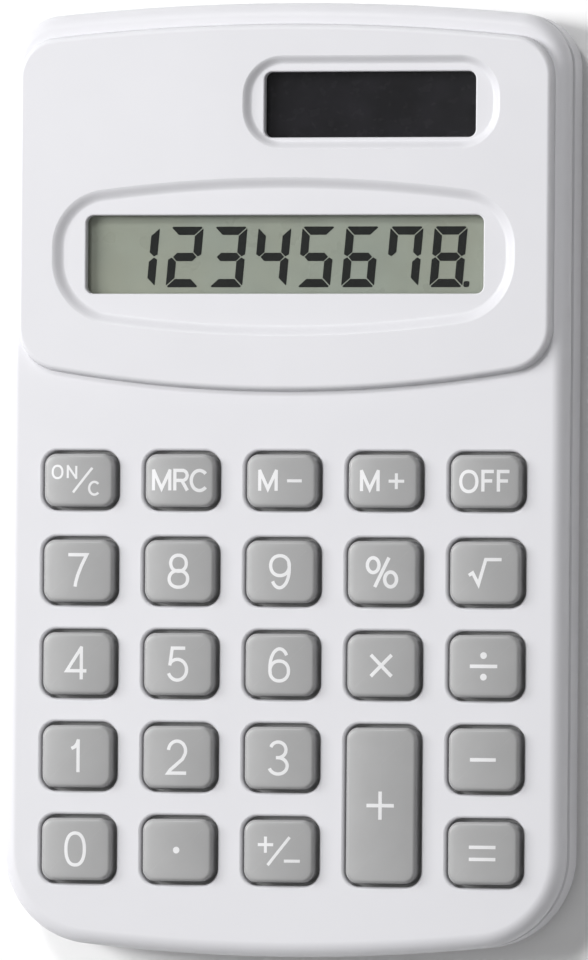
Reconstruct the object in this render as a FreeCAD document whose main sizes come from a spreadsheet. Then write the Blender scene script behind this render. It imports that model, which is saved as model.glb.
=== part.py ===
import FreeCAD, Part
import math
import os
import Sketcher

os.makedirs("parts", exist_ok=True)

# A handheld eight-digit calculator lying on its back.
# Frame: +Z up through the key tops, +X across the width to the right of the
# reader, +Y along the length towards the display. The origin is the centre of
# the footprint at the level the casing rests on. Every length is in millimetres.

V = FreeCAD.Vector
doc = FreeCAD.newDocument("PocketCalculator")
sheet = doc.addObject("Spreadsheet::Sheet", "Dimensions")

CELLS = [
    # casing outline
    ("body_width", 68.0),
    ("body_top", 55.95),
    ("body_bottom", 55.95),
    ("top_arc_radius", 290.0),
    ("bottom_arc_radius", 225.0),
    ("top_corner", 6.5),
    ("bottom_corner", 11.0),
    # heights
    ("rear_height", 6.45),
    ("parting_height", 6.6),
    ("deck_height", 9.6),
    ("panel_height", 10.9),
    ("deck_roll", 1.8),
    ("rear_roll", 3.0),
    ("front_wall", 1.6),
    ("rear_wall", 2.4),
    ("lip_offset", 1.72),
    ("lip_height", 7.4),
    ("floor_thickness", 1.5),
    ("deck_underside", 8.1),
    ("panel_underside", 9.2),
    ("parting_chamfer", 0.2),
    # raised display panel
    ("panel_half_width", 32.15),
    ("panel_top", 53.2),
    ("panel_bottom", 10.5),
    ("panel_top_arc", 262.0),
    ("panel_bottom_arc", 165.0),
    ("panel_top_corner", 4.6),
    ("panel_bottom_corner", 5.2),
    ("panel_root", 8.3),
    ("panel_draft", 9.0),
    ("panel_edge", 0.6),
    ("panel_wall", 1.9),
    # dish round the display
    ("dish_half_width", 27.85),
    ("dish_top", 35.2),
    ("dish_bottom", 16.9),
    ("dish_top_arc", 170.0),
    ("dish_bottom_arc", 160.0),
    ("dish_top_corner", 6.6),
    ("dish_bottom_corner", 7.4),
    ("dish_depth", 0.7),
    ("dish_slope", 1.0),
    # display
    ("display_y", 26.35),
    ("display_width", 48.1),
    ("display_length", 9.2),
    ("display_corner", 0.9),
    ("opening_round", 0.2),
    ("window_thickness", 0.5),
    ("window_gap", 0.05),
    ("window_margin", 1.9),
    # dish round the solar window
    ("solar_x", 10.25),
    ("solar_y", 43.9),
    ("solar_width", 25.5),
    ("solar_length", 7.7),
    ("solar_corner", 0.9),
    ("solar_dish_x", 10.55),
    ("solar_dish_y", 44.15),
    ("solar_dish_width", 30.7),
    ("solar_dish_length", 10.6),
    ("solar_dish_corner", 4.6),
    ("solar_dish_slope", 0.7),
    ("solar_margin", 1.3),
    # keypad
    ("key_pitch_across", 12.3),
    ("key_pitch_along", 10.9),
    ("function_pitch", 10.65),
    ("function_row_y", -0.2),
    ("key_width", 8.5),
    ("key_length", 7.3),
    ("function_length", 6.2),
    ("key_corner", 1.45),
    ("key_clearance", 0.42),
    ("key_top", 10.85),
    ("key_crown", 26.0),
    ("key_edge", 0.45),
    ("flange_bottom", 7.25),
    ("flange_height", 0.72),
    ("flange_margin", 0.85),
    ("key_hollow_wall", 1.15),
    ("key_hollow_depth", 1.9),
    ("plunger_diameter", 3.0),
    # dome mat
    ("mat_bottom", 4.4),
    ("mat_thickness", 0.6),
    ("mat_half_width", 30.2),
    ("mat_top", 4.4),
    ("mat_end", 47.1),
    ("dome_base", 5.9),
    ("dome_head", 3.6),
    ("dome_top", 7.2),
    ("dome_roof", 0.9),
    ("dome_skin", 0.55),
    ("pill_diameter", 2.2),
    ("pill_thickness", 0.4),
    # circuit board
    ("board_half_width", 30.6),
    ("board_top", 37.0),
    ("board_end", 52.4),
    ("board_corner", 9.0),
    ("board_thickness", 1.2),
    # case screws
    ("upper_screw_x", 27.2),
    ("upper_screw_y", 48.2),
    ("middle_screw_x", 27.4),
    ("middle_screw_y", 7.9),
    ("lower_screw_x", 18.45),
    ("lower_screw_y", 50.3),
    ("rear_post", 6.0),
    ("rear_post_top", 4.9),
    ("front_post", 4.6),
    ("front_post_bottom", 4.95),
    ("screw_shank", 1.9),
    ("screw_pilot", 2.0),
    ("screw_clearance", 2.4),
    ("screw_bore", 4.0),
    ("screw_bore_depth", 1.7),
    ("screw_head", 3.6),
    ("screw_head_height", 1.2),
    ("screw_tip", 7.3),
    # board screws
    ("board_screw_upper_x", 12.0),
    ("board_screw_upper_y", 9.4),
    ("board_screw_lower_x", 8.0),
    ("board_screw_lower_y", 50.4),
    ("board_post", 3.8),
    ("board_screw_shank", 1.5),
    ("board_screw_pilot", 1.6),
    ("board_screw_head", 3.0),
    ("board_screw_head_height", 0.9),
    ("board_screw_tip", 7.0),
    # display stack
    ("cell_width", 52.0),
    ("cell_length", 16.0),
    ("cell_ledge", 3.0),
    ("cell_glass", 1.1),
    ("reflector_thickness", 0.2),
    ("zebra_width", 50.0),
    ("zebra_thickness", 2.0),
    ("holder_width", 56.0),
    ("holder_length", 18.2),
    ("holder_top", 8.6),
    ("holder_floor", 6.2),
    ("holder_play", 0.3),
    # solar cell
    ("solar_cell_width", 28.0),
    ("solar_cell_length", 10.2),
    ("solar_cell_glass", 1.1),
    ("foam_width", 22.0),
    ("foam_length", 7.0),
    ("foam_bottom", 4.5),
    # battery
    ("battery_x", -14.3),
    ("battery_y", 45.3),
    ("battery_diameter", 11.6),
    ("battery_height", 3.05),
    ("battery_bottom", 1.4),
    ("well_bore", 12.2),
    ("well_outside", 14.6),
    ("well_top", 4.7),
    ("well_base", 2.7),
    ("cover_x", -11.5),
    ("cover_width", 25.6),
    ("cover_length", 16.0),
    ("cover_corner", 2.2),
    ("cover_recess", 1.3),
    ("cover_thickness", 1.2),
    ("cover_play", 0.12),
    ("cover_screw_x", -2.2),
    ("contact_width", 3.0),
    ("contact_thickness", 0.2),
    ("wire_diameter", 0.7),
]
for row, (alias, value) in enumerate(CELLS, 1):
    sheet.set("A%d" % row, alias.replace("_", " "))
    sheet.set("B%d" % row, str(value))
    sheet.setAlias("B%d" % row, alias)
doc.recompute()


class Length:
    """A length with the expression that gives it from the sheet."""

    def __init__(self, number, words):
        self.n = float(number)
        self.e = words

    def __add__(self, other):
        other = length(other)
        return Length(self.n + other.n, "(%s + %s)" % (self.e, other.e))

    def __sub__(self, other):
        other = length(other)
        return Length(self.n - other.n, "(%s - %s)" % (self.e, other.e))

    def __mul__(self, factor):
        return Length(self.n * factor, "(%s * %.6g)" % (self.e, factor))

    def __neg__(self):
        return self * -1


def length(x):
    return x if isinstance(x, Length) else Length(x, "%.6g" % x)


class Sheet:
    def __getattr__(self, alias):
        return Length(float(sheet.get(alias)), "Dimensions." + alias)


d = Sheet()


def bind(obj, prop, value):
    obj.setExpression(prop, length(value).e)


def new_body(label, x=None, y=None, z=None):
    body = doc.addObject("PartDesign::Body", label)
    body.Label = label
    for axis, value in (("x", x), ("y", y), ("z", z)):
        if value is not None:
            bind(body, "Placement.Base." + axis, value)
    return body


def origin_plane(body, role):
    return [f for f in body.Origin.OriginFeatures if f.Role == role][0]


def new_sketch(body, name, role="XY_Plane", x=None, y=None, z=None):
    s = body.newObject("Sketcher::SketchObject", name)
    s.AttachmentSupport = [(origin_plane(body, role), "")]
    s.MapMode = "FlatFace"
    for axis, value in (("x", x), ("y", y), ("z", z)):
        if value is not None:
            bind(s, "AttachmentOffset.Base." + axis, value)
    return s


def constrain(s, kind, *where):
    s.addConstraint(Sketcher.Constraint(kind, *where))


def dimension(s, name, kind, where, value):
    value = length(value)
    i = s.addConstraint(Sketcher.Constraint(kind, *where, value.n))
    s.renameConstraint(i, name)
    s.setExpression("Constraints." + name, value.e)


def arc(x, y, r, a, b):
    return Part.ArcOfCircle(Part.Circle(V(x, y, 0), V(0, 0, 1), r), a, b)


def line(x0, y0, x1, y1):
    return Part.LineSegment(V(x0, y0, 0), V(x1, y1, 0))


def draw_rounded(s, w, h, r, tag=""):
    """A rounded rectangle centred on the sketch's origin."""
    a, b, c = w.n / 2, h.n / 2, r.n
    g = s.GeometryCount
    s.addGeometry(line(a, c - b, a, b - c))
    s.addGeometry(arc(a - c, b - c, c, 0, math.pi / 2))
    s.addGeometry(line(a - c, b, c - a, b))
    s.addGeometry(arc(c - a, b - c, c, math.pi / 2, math.pi))
    s.addGeometry(line(-a, b - c, -a, c - b))
    s.addGeometry(arc(c - a, c - b, c, math.pi, 1.5 * math.pi))
    s.addGeometry(line(c - a, -b, a - c, -b))
    s.addGeometry(arc(a - c, c - b, c, 1.5 * math.pi, 2 * math.pi))
    for i in range(8):
        constrain(s, "Tangent", g + i, 2, g + (i + 1) % 8, 1)
    constrain(s, "Vertical", g)
    constrain(s, "Horizontal", g + 2)
    constrain(s, "Vertical", g + 4)
    constrain(s, "Horizontal", g + 6)
    for i in (3, 5, 7):
        constrain(s, "Equal", g + 1, g + i)
    dimension(s, "corner" + tag, "Radius", (g + 1,), r)
    dimension(s, "right" + tag, "DistanceX", (-1, 1, g, 1), w * 0.5)
    dimension(s, "left" + tag, "DistanceX", (g + 4, 1, -1, 1), w * 0.5)
    dimension(s, "top" + tag, "DistanceY", (-1, 1, g + 2, 1), h * 0.5)
    dimension(s, "bottom" + tag, "DistanceY", (g + 6, 1, -1, 1), h * 0.5)


def draw_casing(s, half, top, bottom, top_arc, bottom_arc, top_corner, bottom_corner, tag=""):
    """Straight sides, bowed ends and rounded corners. top and bottom are how far the ends reach along +Y and -Y on the centre line."""
    w, rt, rb = half.n, top_corner.n, bottom_corner.n
    ct, cb = top.n - top_arc.n, bottom_arc.n - bottom.n
    yt = ct + math.sqrt((top_arc.n - rt) ** 2 - (w - rt) ** 2)
    yb = cb - math.sqrt((bottom_arc.n - rb) ** 2 - (w - rb) ** 2)
    at = math.atan2(yt - ct, w - rt)
    ab = math.atan2(yb - cb, w - rb)
    pi = math.pi
    g = s.GeometryCount
    s.addGeometry(line(w, yb, w, yt))
    s.addGeometry(arc(w - rt, yt, rt, 0, at))
    s.addGeometry(arc(0, ct, top_arc.n, at, pi - at))
    s.addGeometry(arc(rt - w, yt, rt, pi - at, pi))
    s.addGeometry(line(-w, yt, -w, yb))
    s.addGeometry(arc(rb - w, yb, rb, pi, pi - ab))
    s.addGeometry(arc(0, cb, bottom_arc.n, pi - ab, 2 * pi + ab))
    s.addGeometry(arc(w - rb, yb, rb, 2 * pi + ab, 2 * pi))
    for i in range(8):
        constrain(s, "Tangent", g + i, 2, g + (i + 1) % 8, 1)
    constrain(s, "Vertical", g)
    constrain(s, "Vertical", g + 4)
    constrain(s, "PointOnObject", g + 2, 3, -2)
    constrain(s, "PointOnObject", g + 6, 3, -2)
    constrain(s, "Equal", g + 1, g + 3)
    constrain(s, "Equal", g + 5, g + 7)
    dimension(s, "top_corner" + tag, "Radius", (g + 1,), top_corner)
    dimension(s, "bottom_corner" + tag, "Radius", (g + 5,), bottom_corner)
    dimension(s, "top_arc" + tag, "Radius", (g + 2,), top_arc)
    dimension(s, "bottom_arc" + tag, "Radius", (g + 6,), bottom_arc)
    dimension(s, "right" + tag, "DistanceX", (-1, 1, g, 1), half)
    dimension(s, "left" + tag, "DistanceX", (g + 4, 1, -1, 1), half)
    dimension(s, "top_centre" + tag, "DistanceY", (g + 2, 3, -1, 1), top_arc - top)
    dimension(s, "bottom_centre" + tag, "DistanceY", (-1, 1, g + 6, 3), bottom_arc - bottom)


def draw_circle(s, diameter):
    g = s.GeometryCount
    s.addGeometry(Part.Circle(V(0, 0, 0), V(0, 0, 1), length(diameter).n / 2))
    constrain(s, "Coincident", g, 3, -1, 1)
    dimension(s, "diameter", "Diameter", (g,), diameter)


def draw_points(s, points, name="p"):
    """A closed polygon through points given as pairs of lengths from the sketch's origin."""
    pts = [(length(x), length(y)) for x, y in points]
    n = len(pts)
    g = s.GeometryCount
    for i, (x, y) in enumerate(pts):
        x1, y1 = pts[(i + 1) % n]
        s.addGeometry(line(x.n, y.n, x1.n, y1.n))
    for i in range(n):
        constrain(s, "Coincident", g + i, 2, g + (i + 1) % n, 1)
    for i, (x, y) in enumerate(pts):
        for axis, kind, v in (("x", "DistanceX", x), ("y", "DistanceY", y)):
            if abs(v.n) < 1e-9:
                constrain(s, "PointOnObject", g + i, 1, -2 if axis == "x" else -1)
            elif v.n > 0:
                dimension(s, "%s%d%s" % (name, i, axis), kind, (-1, 1, g + i, 1), v)
            else:
                dimension(s, "%s%d%s" % (name, i, axis), kind, (g + i, 1, -1, 1), -v)


def pad(body, s, height, name, down=False, draft=None, both=False):
    f = body.newObject("PartDesign::Pad", name)
    f.Profile = s
    f.Refine = True
    if both:
        f.SideType = "Symmetric"
    f.Reversed = down
    bind(f, "Length", height)
    if draft is not None:
        bind(f, "TaperAngle", draft)
    doc.recompute()
    return f


def pocket(body, s, depth, name, up=False, both=False):
    f = body.newObject("PartDesign::Pocket", name)
    f.Profile = s
    f.Refine = True
    if both:
        f.SideType = "Symmetric"
    f.Reversed = up
    bind(f, "Length", depth)
    before = f.BaseFeature.Shape.Volume
    doc.recompute()
    if not f.Shape.isNull() and f.Shape.Volume > before - 1e-6:
        print("POCKET REMOVED NOTHING", body.Label, name)
    return f


def edges_of(feature, keep):
    return ["Edge%d" % (i + 1) for i, e in enumerate(feature.Shape.Edges) if keep(e)]


def fillet(body, base, keep, radius, name):
    names = edges_of(base, keep)
    f = body.newObject("PartDesign::Fillet", name)
    f.Base = (base, names)
    bind(f, "Radius", radius)
    doc.recompute()
    return f


def chamfer(body, base, keep, size, name):
    names = edges_of(base, keep)
    f = body.newObject("PartDesign::Chamfer", name)
    f.Base = (base, names)
    bind(f, "Size", size)
    doc.recompute()
    return f


def level(edge, z, tolerance=1e-4):
    b = edge.BoundBox
    return abs(b.ZMin - z) < tolerance and abs(b.ZMax - z) < tolerance


def grid(body, features, name, pitch_x, count_x):
    """Repeats features along +X."""
    f = body.newObject("PartDesign::LinearPattern", name)
    f.Originals = features
    f.Direction = (origin_plane(body, "X_Axis"), [""])
    f.Mode = "Spacing"
    f.Occurrences = count_x
    bind(f, "Offset", pitch_x)
    doc.recompute()
    body.Tip = f
    doc.recompute()
    return f


def outline(s, offset=0.0, tag=""):
    draw_casing(
        s,
        d.body_width * 0.5 - offset,
        d.body_top - offset,
        d.body_bottom - offset,
        d.top_arc_radius - offset,
        d.bottom_arc_radius - offset,
        d.top_corner - offset,
        d.bottom_corner - offset,
        tag,
    )


def key_x(column):
    return d.key_pitch_across * column


def key_y(row):
    y = d.function_row_y
    if row > 0:
        y = y - d.function_pitch - d.key_pitch_along * (row - 1)
    return y


tall_length = d.key_length + d.key_pitch_along
tall_y = (key_y(3) + key_y(4)) * 0.5
display_gap = d.window_gap + d.window_thickness
cell_top = d.panel_underside - display_gap

CASE_SCREWS = [
    (side * 1.0, x, y)
    for x, y in (
        (d.upper_screw_x, d.upper_screw_y),
        (d.middle_screw_x, d.middle_screw_y),
        (d.lower_screw_x, -d.lower_screw_y),
    )
    for side in (-1, 1)
]
BOARD_SCREWS = [
    (side * 1.0, x, y)
    for x, y in (
        (d.board_screw_upper_x, d.board_screw_upper_y),
        (d.board_screw_lower_x, -d.board_screw_lower_y),
    )
    for side in (-1, 1)
]

# ------------------------------------------------------------ front half
front = new_body("front_shell")
s = new_sketch(front, "front_outline", z=d.parting_height)
outline(s)
f = pad(front, s, d.deck_height - d.parting_height, "front_block")
f = fillet(front, f, lambda e: level(e, d.deck_height.n), d.deck_roll, "deck_edge")

s = new_sketch(front, "panel_outline", z=d.panel_root)
spread = (d.panel_height.n - d.panel_root.n) * math.tan(math.radians(d.panel_draft.n))
draw_casing(
    s,
    d.panel_half_width + spread,
    d.panel_top + spread,
    -d.panel_bottom + spread,
    d.panel_top_arc + spread,
    d.panel_bottom_arc + spread,
    d.panel_top_corner + spread,
    d.panel_bottom_corner + spread,
)
f = pad(front, s, d.panel_height - d.panel_root, "panel_block", draft=-d.panel_draft)
f = fillet(front, f, lambda e: level(e, d.panel_height.n), d.panel_edge, "panel_edge_round")


def dish(body, name, draw, floor, slope):
    """A shallow recess from the panel's top down to a smaller floor."""
    rim = new_sketch(body, name + "_rim", z=d.panel_height)
    draw(rim, 0.0)
    bed = new_sketch(body, name + "_bed", z=floor)
    draw(bed, slope)
    loft = body.newObject("PartDesign::SubtractiveLoft", name)
    loft.Profile = rim
    loft.Sections = [bed]
    loft.Ruled = True
    doc.recompute()
    return loft


def display_dish(s, inset):
    draw_casing(
        s,
        d.dish_half_width - inset,
        d.dish_top - inset,
        -d.dish_bottom - inset,
        d.dish_top_arc - inset,
        d.dish_bottom_arc - inset,
        d.dish_top_corner - inset,
        d.dish_bottom_corner - inset,
    )


dish_floor = d.panel_height - d.dish_depth
f = dish(front, "display_dish", display_dish, dish_floor, d.dish_slope)


def solar_dish(s, inset):
    bind(s, "AttachmentOffset.Base.x", d.solar_dish_x)
    bind(s, "AttachmentOffset.Base.y", d.solar_dish_y)
    inset = length(inset)
    draw_rounded(
        s,
        d.solar_dish_width - inset * 2,
        d.solar_dish_length - inset * 2,
        d.solar_dish_corner - inset,
    )


f = dish(front, "solar_dish", solar_dish, dish_floor, d.solar_dish_slope)

s = new_sketch(front, "display_opening_sketch", y=d.display_y, z=dish_floor)
draw_rounded(s, d.display_width, d.display_length, d.display_corner)
f = pocket(front, s, 3.0, "display_opening")
s = new_sketch(front, "solar_opening_sketch", x=d.solar_x, y=d.solar_y, z=dish_floor)
draw_rounded(s, d.solar_width, d.solar_length, d.solar_corner)
f = pocket(front, s, 3.0, "solar_opening")


def opening_rim(e):
    b = e.BoundBox
    if not level(e, dish_floor.n):
        return False
    for x, y, w, h in (
        (0.0, d.display_y.n, d.display_width.n, d.display_length.n),
        (d.solar_x.n, d.solar_y.n, d.solar_width.n, d.solar_length.n),
    ):
        if (
            x - w / 2 - 0.01 <= b.XMin
            and b.XMax <= x + w / 2 + 0.01
            and y - h / 2 - 0.01 <= b.YMin
            and b.YMax <= y + h / 2 + 0.01
        ):
            return True
    return False


f = fillet(front, f, opening_rim, d.opening_round, "opening_rims")

# hollow under the deck and a deeper one under the raised panel
s = new_sketch(front, "deck_hollow_sketch", z=d.parting_height)
outline(s, d.front_wall)
f = pocket(front, s, d.deck_underside - d.parting_height, "deck_hollow", up=True)
s = new_sketch(front, "panel_hollow_sketch", z=d.parting_height)
draw_casing(
    s,
    d.panel_half_width - d.panel_wall,
    d.panel_top - d.panel_wall,
    -d.panel_bottom - d.panel_wall,
    d.panel_top_arc - d.panel_wall,
    d.panel_bottom_arc - d.panel_wall,
    d.panel_top_corner - d.panel_wall,
    d.panel_bottom_corner - d.panel_wall,
)
f = pocket(front, s, d.panel_underside - d.parting_height, "panel_hollow", up=True)


def opening(name, column, row, key_length, count_x, y=None):
    s = new_sketch(
        front, name + "_sketch", x=key_x(column), y=key_y(row) if y is None else y,
        z=d.deck_height + 0.5,
    )
    draw_rounded(
        s,
        d.key_width + d.key_clearance * 2,
        key_length + d.key_clearance * 2,
        d.key_corner + d.key_clearance,
    )
    f = pocket(front, s, d.deck_height - d.deck_underside + 1.5, name)
    if count_x > 1:
        f = grid(front, [f], name + "_row", d.key_pitch_across, count_x)
    return f


f = opening("function_openings", -2, 0, d.function_length, 5)
for row, count in ((1, 5), (2, 5), (3, 3), (4, 3)):
    f = opening("openings_%d" % row, -2, row, d.key_length, count)
for row in (3, 4):
    f = opening("right_opening_%d" % row, 2, row, d.key_length, 1)
f = opening("tall_opening", 1, 3, tall_length, 1, y=tall_y)

# posts that take the case screws and the board screws
for i, (side, x, y) in enumerate(CASE_SCREWS):
    s = new_sketch(front, "case_post_%d_sketch" % i, x=x * side, y=y, z=d.front_post_bottom)
    draw_circle(s, d.front_post)
    top = d.panel_underside if i < 2 else d.deck_underside
    f = pad(front, s, top - d.front_post_bottom + 0.2, "case_post_%d" % i)
    s = new_sketch(front, "case_pilot_%d_sketch" % i, x=x * side, y=y, z=d.front_post_bottom)
    draw_circle(s, d.screw_pilot)
    f = pocket(front, s, d.screw_tip - d.front_post_bottom + 0.3, "case_pilot_%d" % i, up=True)
for i, (side, x, y) in enumerate(BOARD_SCREWS):
    s = new_sketch(front, "board_post_%d_sketch" % i, x=x * side, y=y, z=d.mat_bottom)
    draw_circle(s, d.board_post)
    f = pad(front, s, d.deck_underside - d.mat_bottom + 0.2, "board_post_%d" % i)
    s = new_sketch(front, "board_pilot_%d_sketch" % i, x=x * side, y=y, z=d.mat_bottom)
    draw_circle(s, d.board_screw_pilot)
    f = pocket(front, s, d.board_screw_tip - d.mat_bottom + 0.3, "board_pilot_%d" % i, up=True)
# the lower edge is eased where it meets the rear half
f = chamfer(
    front,
    f,
    lambda e: level(e, d.parting_height.n)
    and max(abs(e.BoundBox.XMin), abs(e.BoundBox.XMax)) <= d.body_width.n / 2 + 0.01
    and (
        max(abs(e.BoundBox.XMin), abs(e.BoundBox.XMax)) > d.body_width.n / 2 - 0.05
        or max(abs(e.BoundBox.YMin), abs(e.BoundBox.YMax)) > d.body_top.n - 0.05
    ),
    d.parting_chamfer,
    "parting_easing",
)

# ------------------------------------------------------------ rear half
rear = new_body("rear_shell")
s = new_sketch(rear, "rear_outline")
outline(s)
f = pad(rear, s, d.rear_height, "rear_block")
f = fillet(rear, f, lambda e: level(e, 0.0), d.rear_roll, "rear_edge")
f = chamfer(rear, f, lambda e: level(e, d.rear_height.n), d.parting_chamfer, "rear_easing")
s = new_sketch(rear, "rear_hollow_sketch", z=d.rear_height)
outline(s, d.rear_wall)
f = pocket(rear, s, d.rear_height - d.floor_thickness, "rear_hollow")
s = new_sketch(rear, "lip_sketch", z=d.rear_height)
outline(s, d.lip_offset, "_out")
outline(s, d.rear_wall, "_in")
f = pad(rear, s, d.lip_height - d.rear_height, "lip")
# thicker floor and round well for the cell
s = new_sketch(rear, "well_base_sketch", x=d.cover_x, y=d.battery_y, z=0.5)
draw_rounded(s, d.cover_width + 3.0, d.cover_length + 1.6, d.cover_corner + 0.8)
f = pad(rear, s, d.well_base - 0.5, "well_base_block")
s = new_sketch(rear, "well_wall_sketch", x=d.battery_x, y=d.battery_y, z=0.5)
draw_circle(s, d.well_outside)
f = pad(rear, s, d.well_top - 0.5, "well_wall")
s = new_sketch(rear, "cover_post_sketch", x=d.cover_screw_x, y=d.battery_y, z=0.5)
draw_circle(s, d.front_post)
f = pad(rear, s, d.rear_post_top - 0.5, "cover_post")
for i, (side, x, y) in enumerate(CASE_SCREWS):
    s = new_sketch(rear, "rear_post_%d_sketch" % i, x=x * side, y=y, z=0.5)
    draw_circle(s, d.rear_post)
    f = pad(rear, s, d.rear_post_top - 0.5, "rear_post_%d" % i)
for name, y in (("rib_upper", d.solar_y + 2.2), ("rib_lower", d.solar_y - 2.2)):
    s = new_sketch(rear, name + "_sketch", x=d.solar_x + 1.5, y=y, z=0.8)
    draw_rounded(s, d.foam_width * 0.8, length(1.4), length(0.3))
    f = pad(rear, s, d.foam_bottom - 0.8, name)
s = new_sketch(rear, "cover_recess_sketch", x=d.cover_x, y=d.battery_y, z=-0.5)
draw_rounded(s, d.cover_width, d.cover_length, d.cover_corner)
f = pocket(rear, s, d.cover_recess + 0.5, "cover_recess_cut", up=True)
s = new_sketch(rear, "well_bore_sketch", x=d.battery_x, y=d.battery_y, z=0.4)
draw_circle(s, d.well_bore)
f = pocket(rear, s, d.well_top, "well_bore_cut", up=True)
s = new_sketch(rear, "contact_slot_sketch", x=d.battery_x + d.well_bore * 0.5 + 0.8, y=d.battery_y, z=d.well_top + 0.5)
draw_rounded(s, length(3.6), d.contact_width + 0.6, length(0.3))
f = pocket(rear, s, d.well_top - d.well_base + 0.5, "contact_slot")
s = new_sketch(rear, "cover_pilot_sketch", x=d.cover_screw_x, y=d.battery_y, z=0.9)
draw_circle(s, d.screw_pilot)
f = pocket(rear, s, 3.5, "cover_pilot", up=True)
for i, (side, x, y) in enumerate(CASE_SCREWS):
    s = new_sketch(rear, "screw_bore_%d_sketch" % i, x=x * side, y=y, z=-0.5)
    draw_circle(s, d.screw_bore)
    f = pocket(rear, s, d.screw_bore_depth + 0.5, "screw_bore_%d" % i, up=True)
    s = new_sketch(rear, "screw_way_%d_sketch" % i, x=x * side, y=y, z=0.5)
    draw_circle(s, d.screw_clearance)
    f = pocket(rear, s, d.rear_post_top, "screw_way_%d" % i, up=True)

# ------------------------------------------------------------ windows, display, solar cell
window_z = d.panel_underside - d.window_thickness
b = new_body("display_window", y=d.display_y, z=window_z)
s = new_sketch(b, "display_window_sketch")
draw_rounded(s, d.display_width + d.window_margin * 2, d.display_length + d.window_margin * 2, d.display_corner + 0.6)
pad(b, s, d.window_thickness, "display_window_sheet")

b = new_body("solar_window", x=d.solar_x, y=d.solar_y, z=window_z)
s = new_sketch(b, "solar_window_sketch")
draw_rounded(s, d.solar_width + d.solar_margin * 2, d.solar_length + d.solar_margin * 2, d.solar_corner + 0.6)
pad(b, s, d.window_thickness, "solar_window_sheet")

b = new_body("lcd_panel", y=d.display_y)
s = new_sketch(b, "front_glass_sketch", z=cell_top - d.cell_glass)
draw_rounded(s, d.cell_width, d.cell_length, length(0.25))
pad(b, s, d.cell_glass, "front_glass")
s = new_sketch(b, "rear_glass_sketch", y=d.cell_ledge * 0.5, z=cell_top - d.cell_glass)
draw_rounded(s, d.cell_width, d.cell_length - d.cell_ledge, length(0.25))
pad(b, s, d.cell_glass, "rear_glass", down=True)

b = new_body("lcd_reflector", y=d.display_y + d.cell_ledge * 0.5, z=cell_top - d.cell_glass * 2 - d.reflector_thickness)
s = new_sketch(b, "reflector_sketch")
draw_rounded(s, d.cell_width - 1.0, d.cell_length - d.cell_ledge - 0.6, length(0.25))
pad(b, s, d.reflector_thickness, "reflector_film")

zebra_y = d.display_y - d.cell_length * 0.5 + d.cell_ledge * 0.5
b = new_body("zebra_strip", y=zebra_y, z=d.mat_bottom)
s = new_sketch(b, "zebra_sketch")
draw_rounded(s, d.zebra_width, d.zebra_thickness, length(0.2))
pad(b, s, cell_top - d.cell_glass - d.mat_bottom, "zebra_bar")

b = new_body("lcd_holder", y=d.display_y, z=d.mat_bottom)
s = new_sketch(b, "holder_outline")
draw_rounded(s, d.holder_width, d.holder_length, length(1.2))
pad(b, s, d.holder_top - d.mat_bottom, "holder_block")
s = new_sketch(b, "holder_tray_sketch", z=d.holder_top - d.mat_bottom)
draw_rounded(s, d.cell_width + d.holder_play, d.cell_length + d.holder_play, length(0.4))
pocket(b, s, d.holder_top - d.holder_floor, "holder_tray")
s = new_sketch(b, "holder_slot_sketch", y=zebra_y - d.display_y, z=d.holder_floor - d.mat_bottom)
draw_rounded(s, d.zebra_width + 0.2, d.zebra_thickness + 0.2, length(0.3))
pocket(b, s, 3.0, "holder_slot")
s = new_sketch(b, "holder_light_sketch", y=length(2.2), z=d.holder_floor - d.mat_bottom)
draw_rounded(s, d.zebra_width - 4.0, d.cell_length - 8.0, length(1.0))
pocket(b, s, 3.0, "holder_lightening")

b = new_body("solar_cell", x=d.solar_x, y=d.solar_y, z=cell_top - d.solar_cell_glass)
s = new_sketch(b, "solar_cell_sketch")
draw_rounded(s, d.solar_cell_width, d.solar_cell_length, length(0.2))
pad(b, s, d.solar_cell_glass, "solar_cell_plate")

b = new_body("solar_foam_pad", x=d.solar_x + 1.5, y=d.solar_y, z=d.foam_bottom)
s = new_sketch(b, "foam_sketch")
draw_rounded(s, d.foam_width, d.foam_length, length(0.5))
pad(b, s, cell_top - d.solar_cell_glass - d.foam_bottom, "foam_block")

# ------------------------------------------------------------ circuit board
board_bottom = d.mat_bottom - d.board_thickness
board = new_body("circuit_board", z=board_bottom)
s = new_sketch(board, "board_sketch")
draw_casing(
    s, d.board_half_width, d.board_top, d.board_end, d.top_arc_radius * 40, d.bottom_arc_radius,
    length(1.5), d.board_corner,
)
pad(board, s, d.board_thickness, "board_plate")
for i, (side, x, y) in enumerate(CASE_SCREWS[2:]):
    s = new_sketch(board, "board_notch_%d_sketch" % i, x=x * side, y=y, z=d.board_thickness)
    draw_circle(s, d.rear_post + 0.8)
    pocket(board, s, d.board_thickness + 0.5, "board_notch_%d" % i)
for i, (side, x, y) in enumerate(BOARD_SCREWS):
    s = new_sketch(board, "board_hole_%d_sketch" % i, x=x * side, y=y, z=d.board_thickness)
    draw_circle(s, d.board_screw_shank + 0.4)
    pocket(board, s, d.board_thickness + 0.5, "board_hole_%d" % i)

b = new_body("chip_blob", x=length(-6.0), y=length(-16.0), z=board_bottom)
s = new_sketch(b, "blob_sketch", role="XZ_Plane")
draw_points(s, [(0, 0), (6.0, 0), (5.6, -0.45), (4.4, -0.85), (2.6, -1.1), (0, -1.2)])
f = b.newObject("PartDesign::Revolution", "blob_turn")
f.Profile = s
f.ReferenceAxis = (s, ["V_Axis"])
f.Angle = 360
doc.recompute()


def compound(label, solids):
    c = doc.addObject("Part::Compound", label)
    c.Label = label
    c.Links = solids
    doc.recompute()
    return c


def place(obj, x, y, z):
    for axis, value in (("x", x), ("y", y), ("z", z)):
        bind(obj, "Placement.Base." + axis, value)


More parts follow.
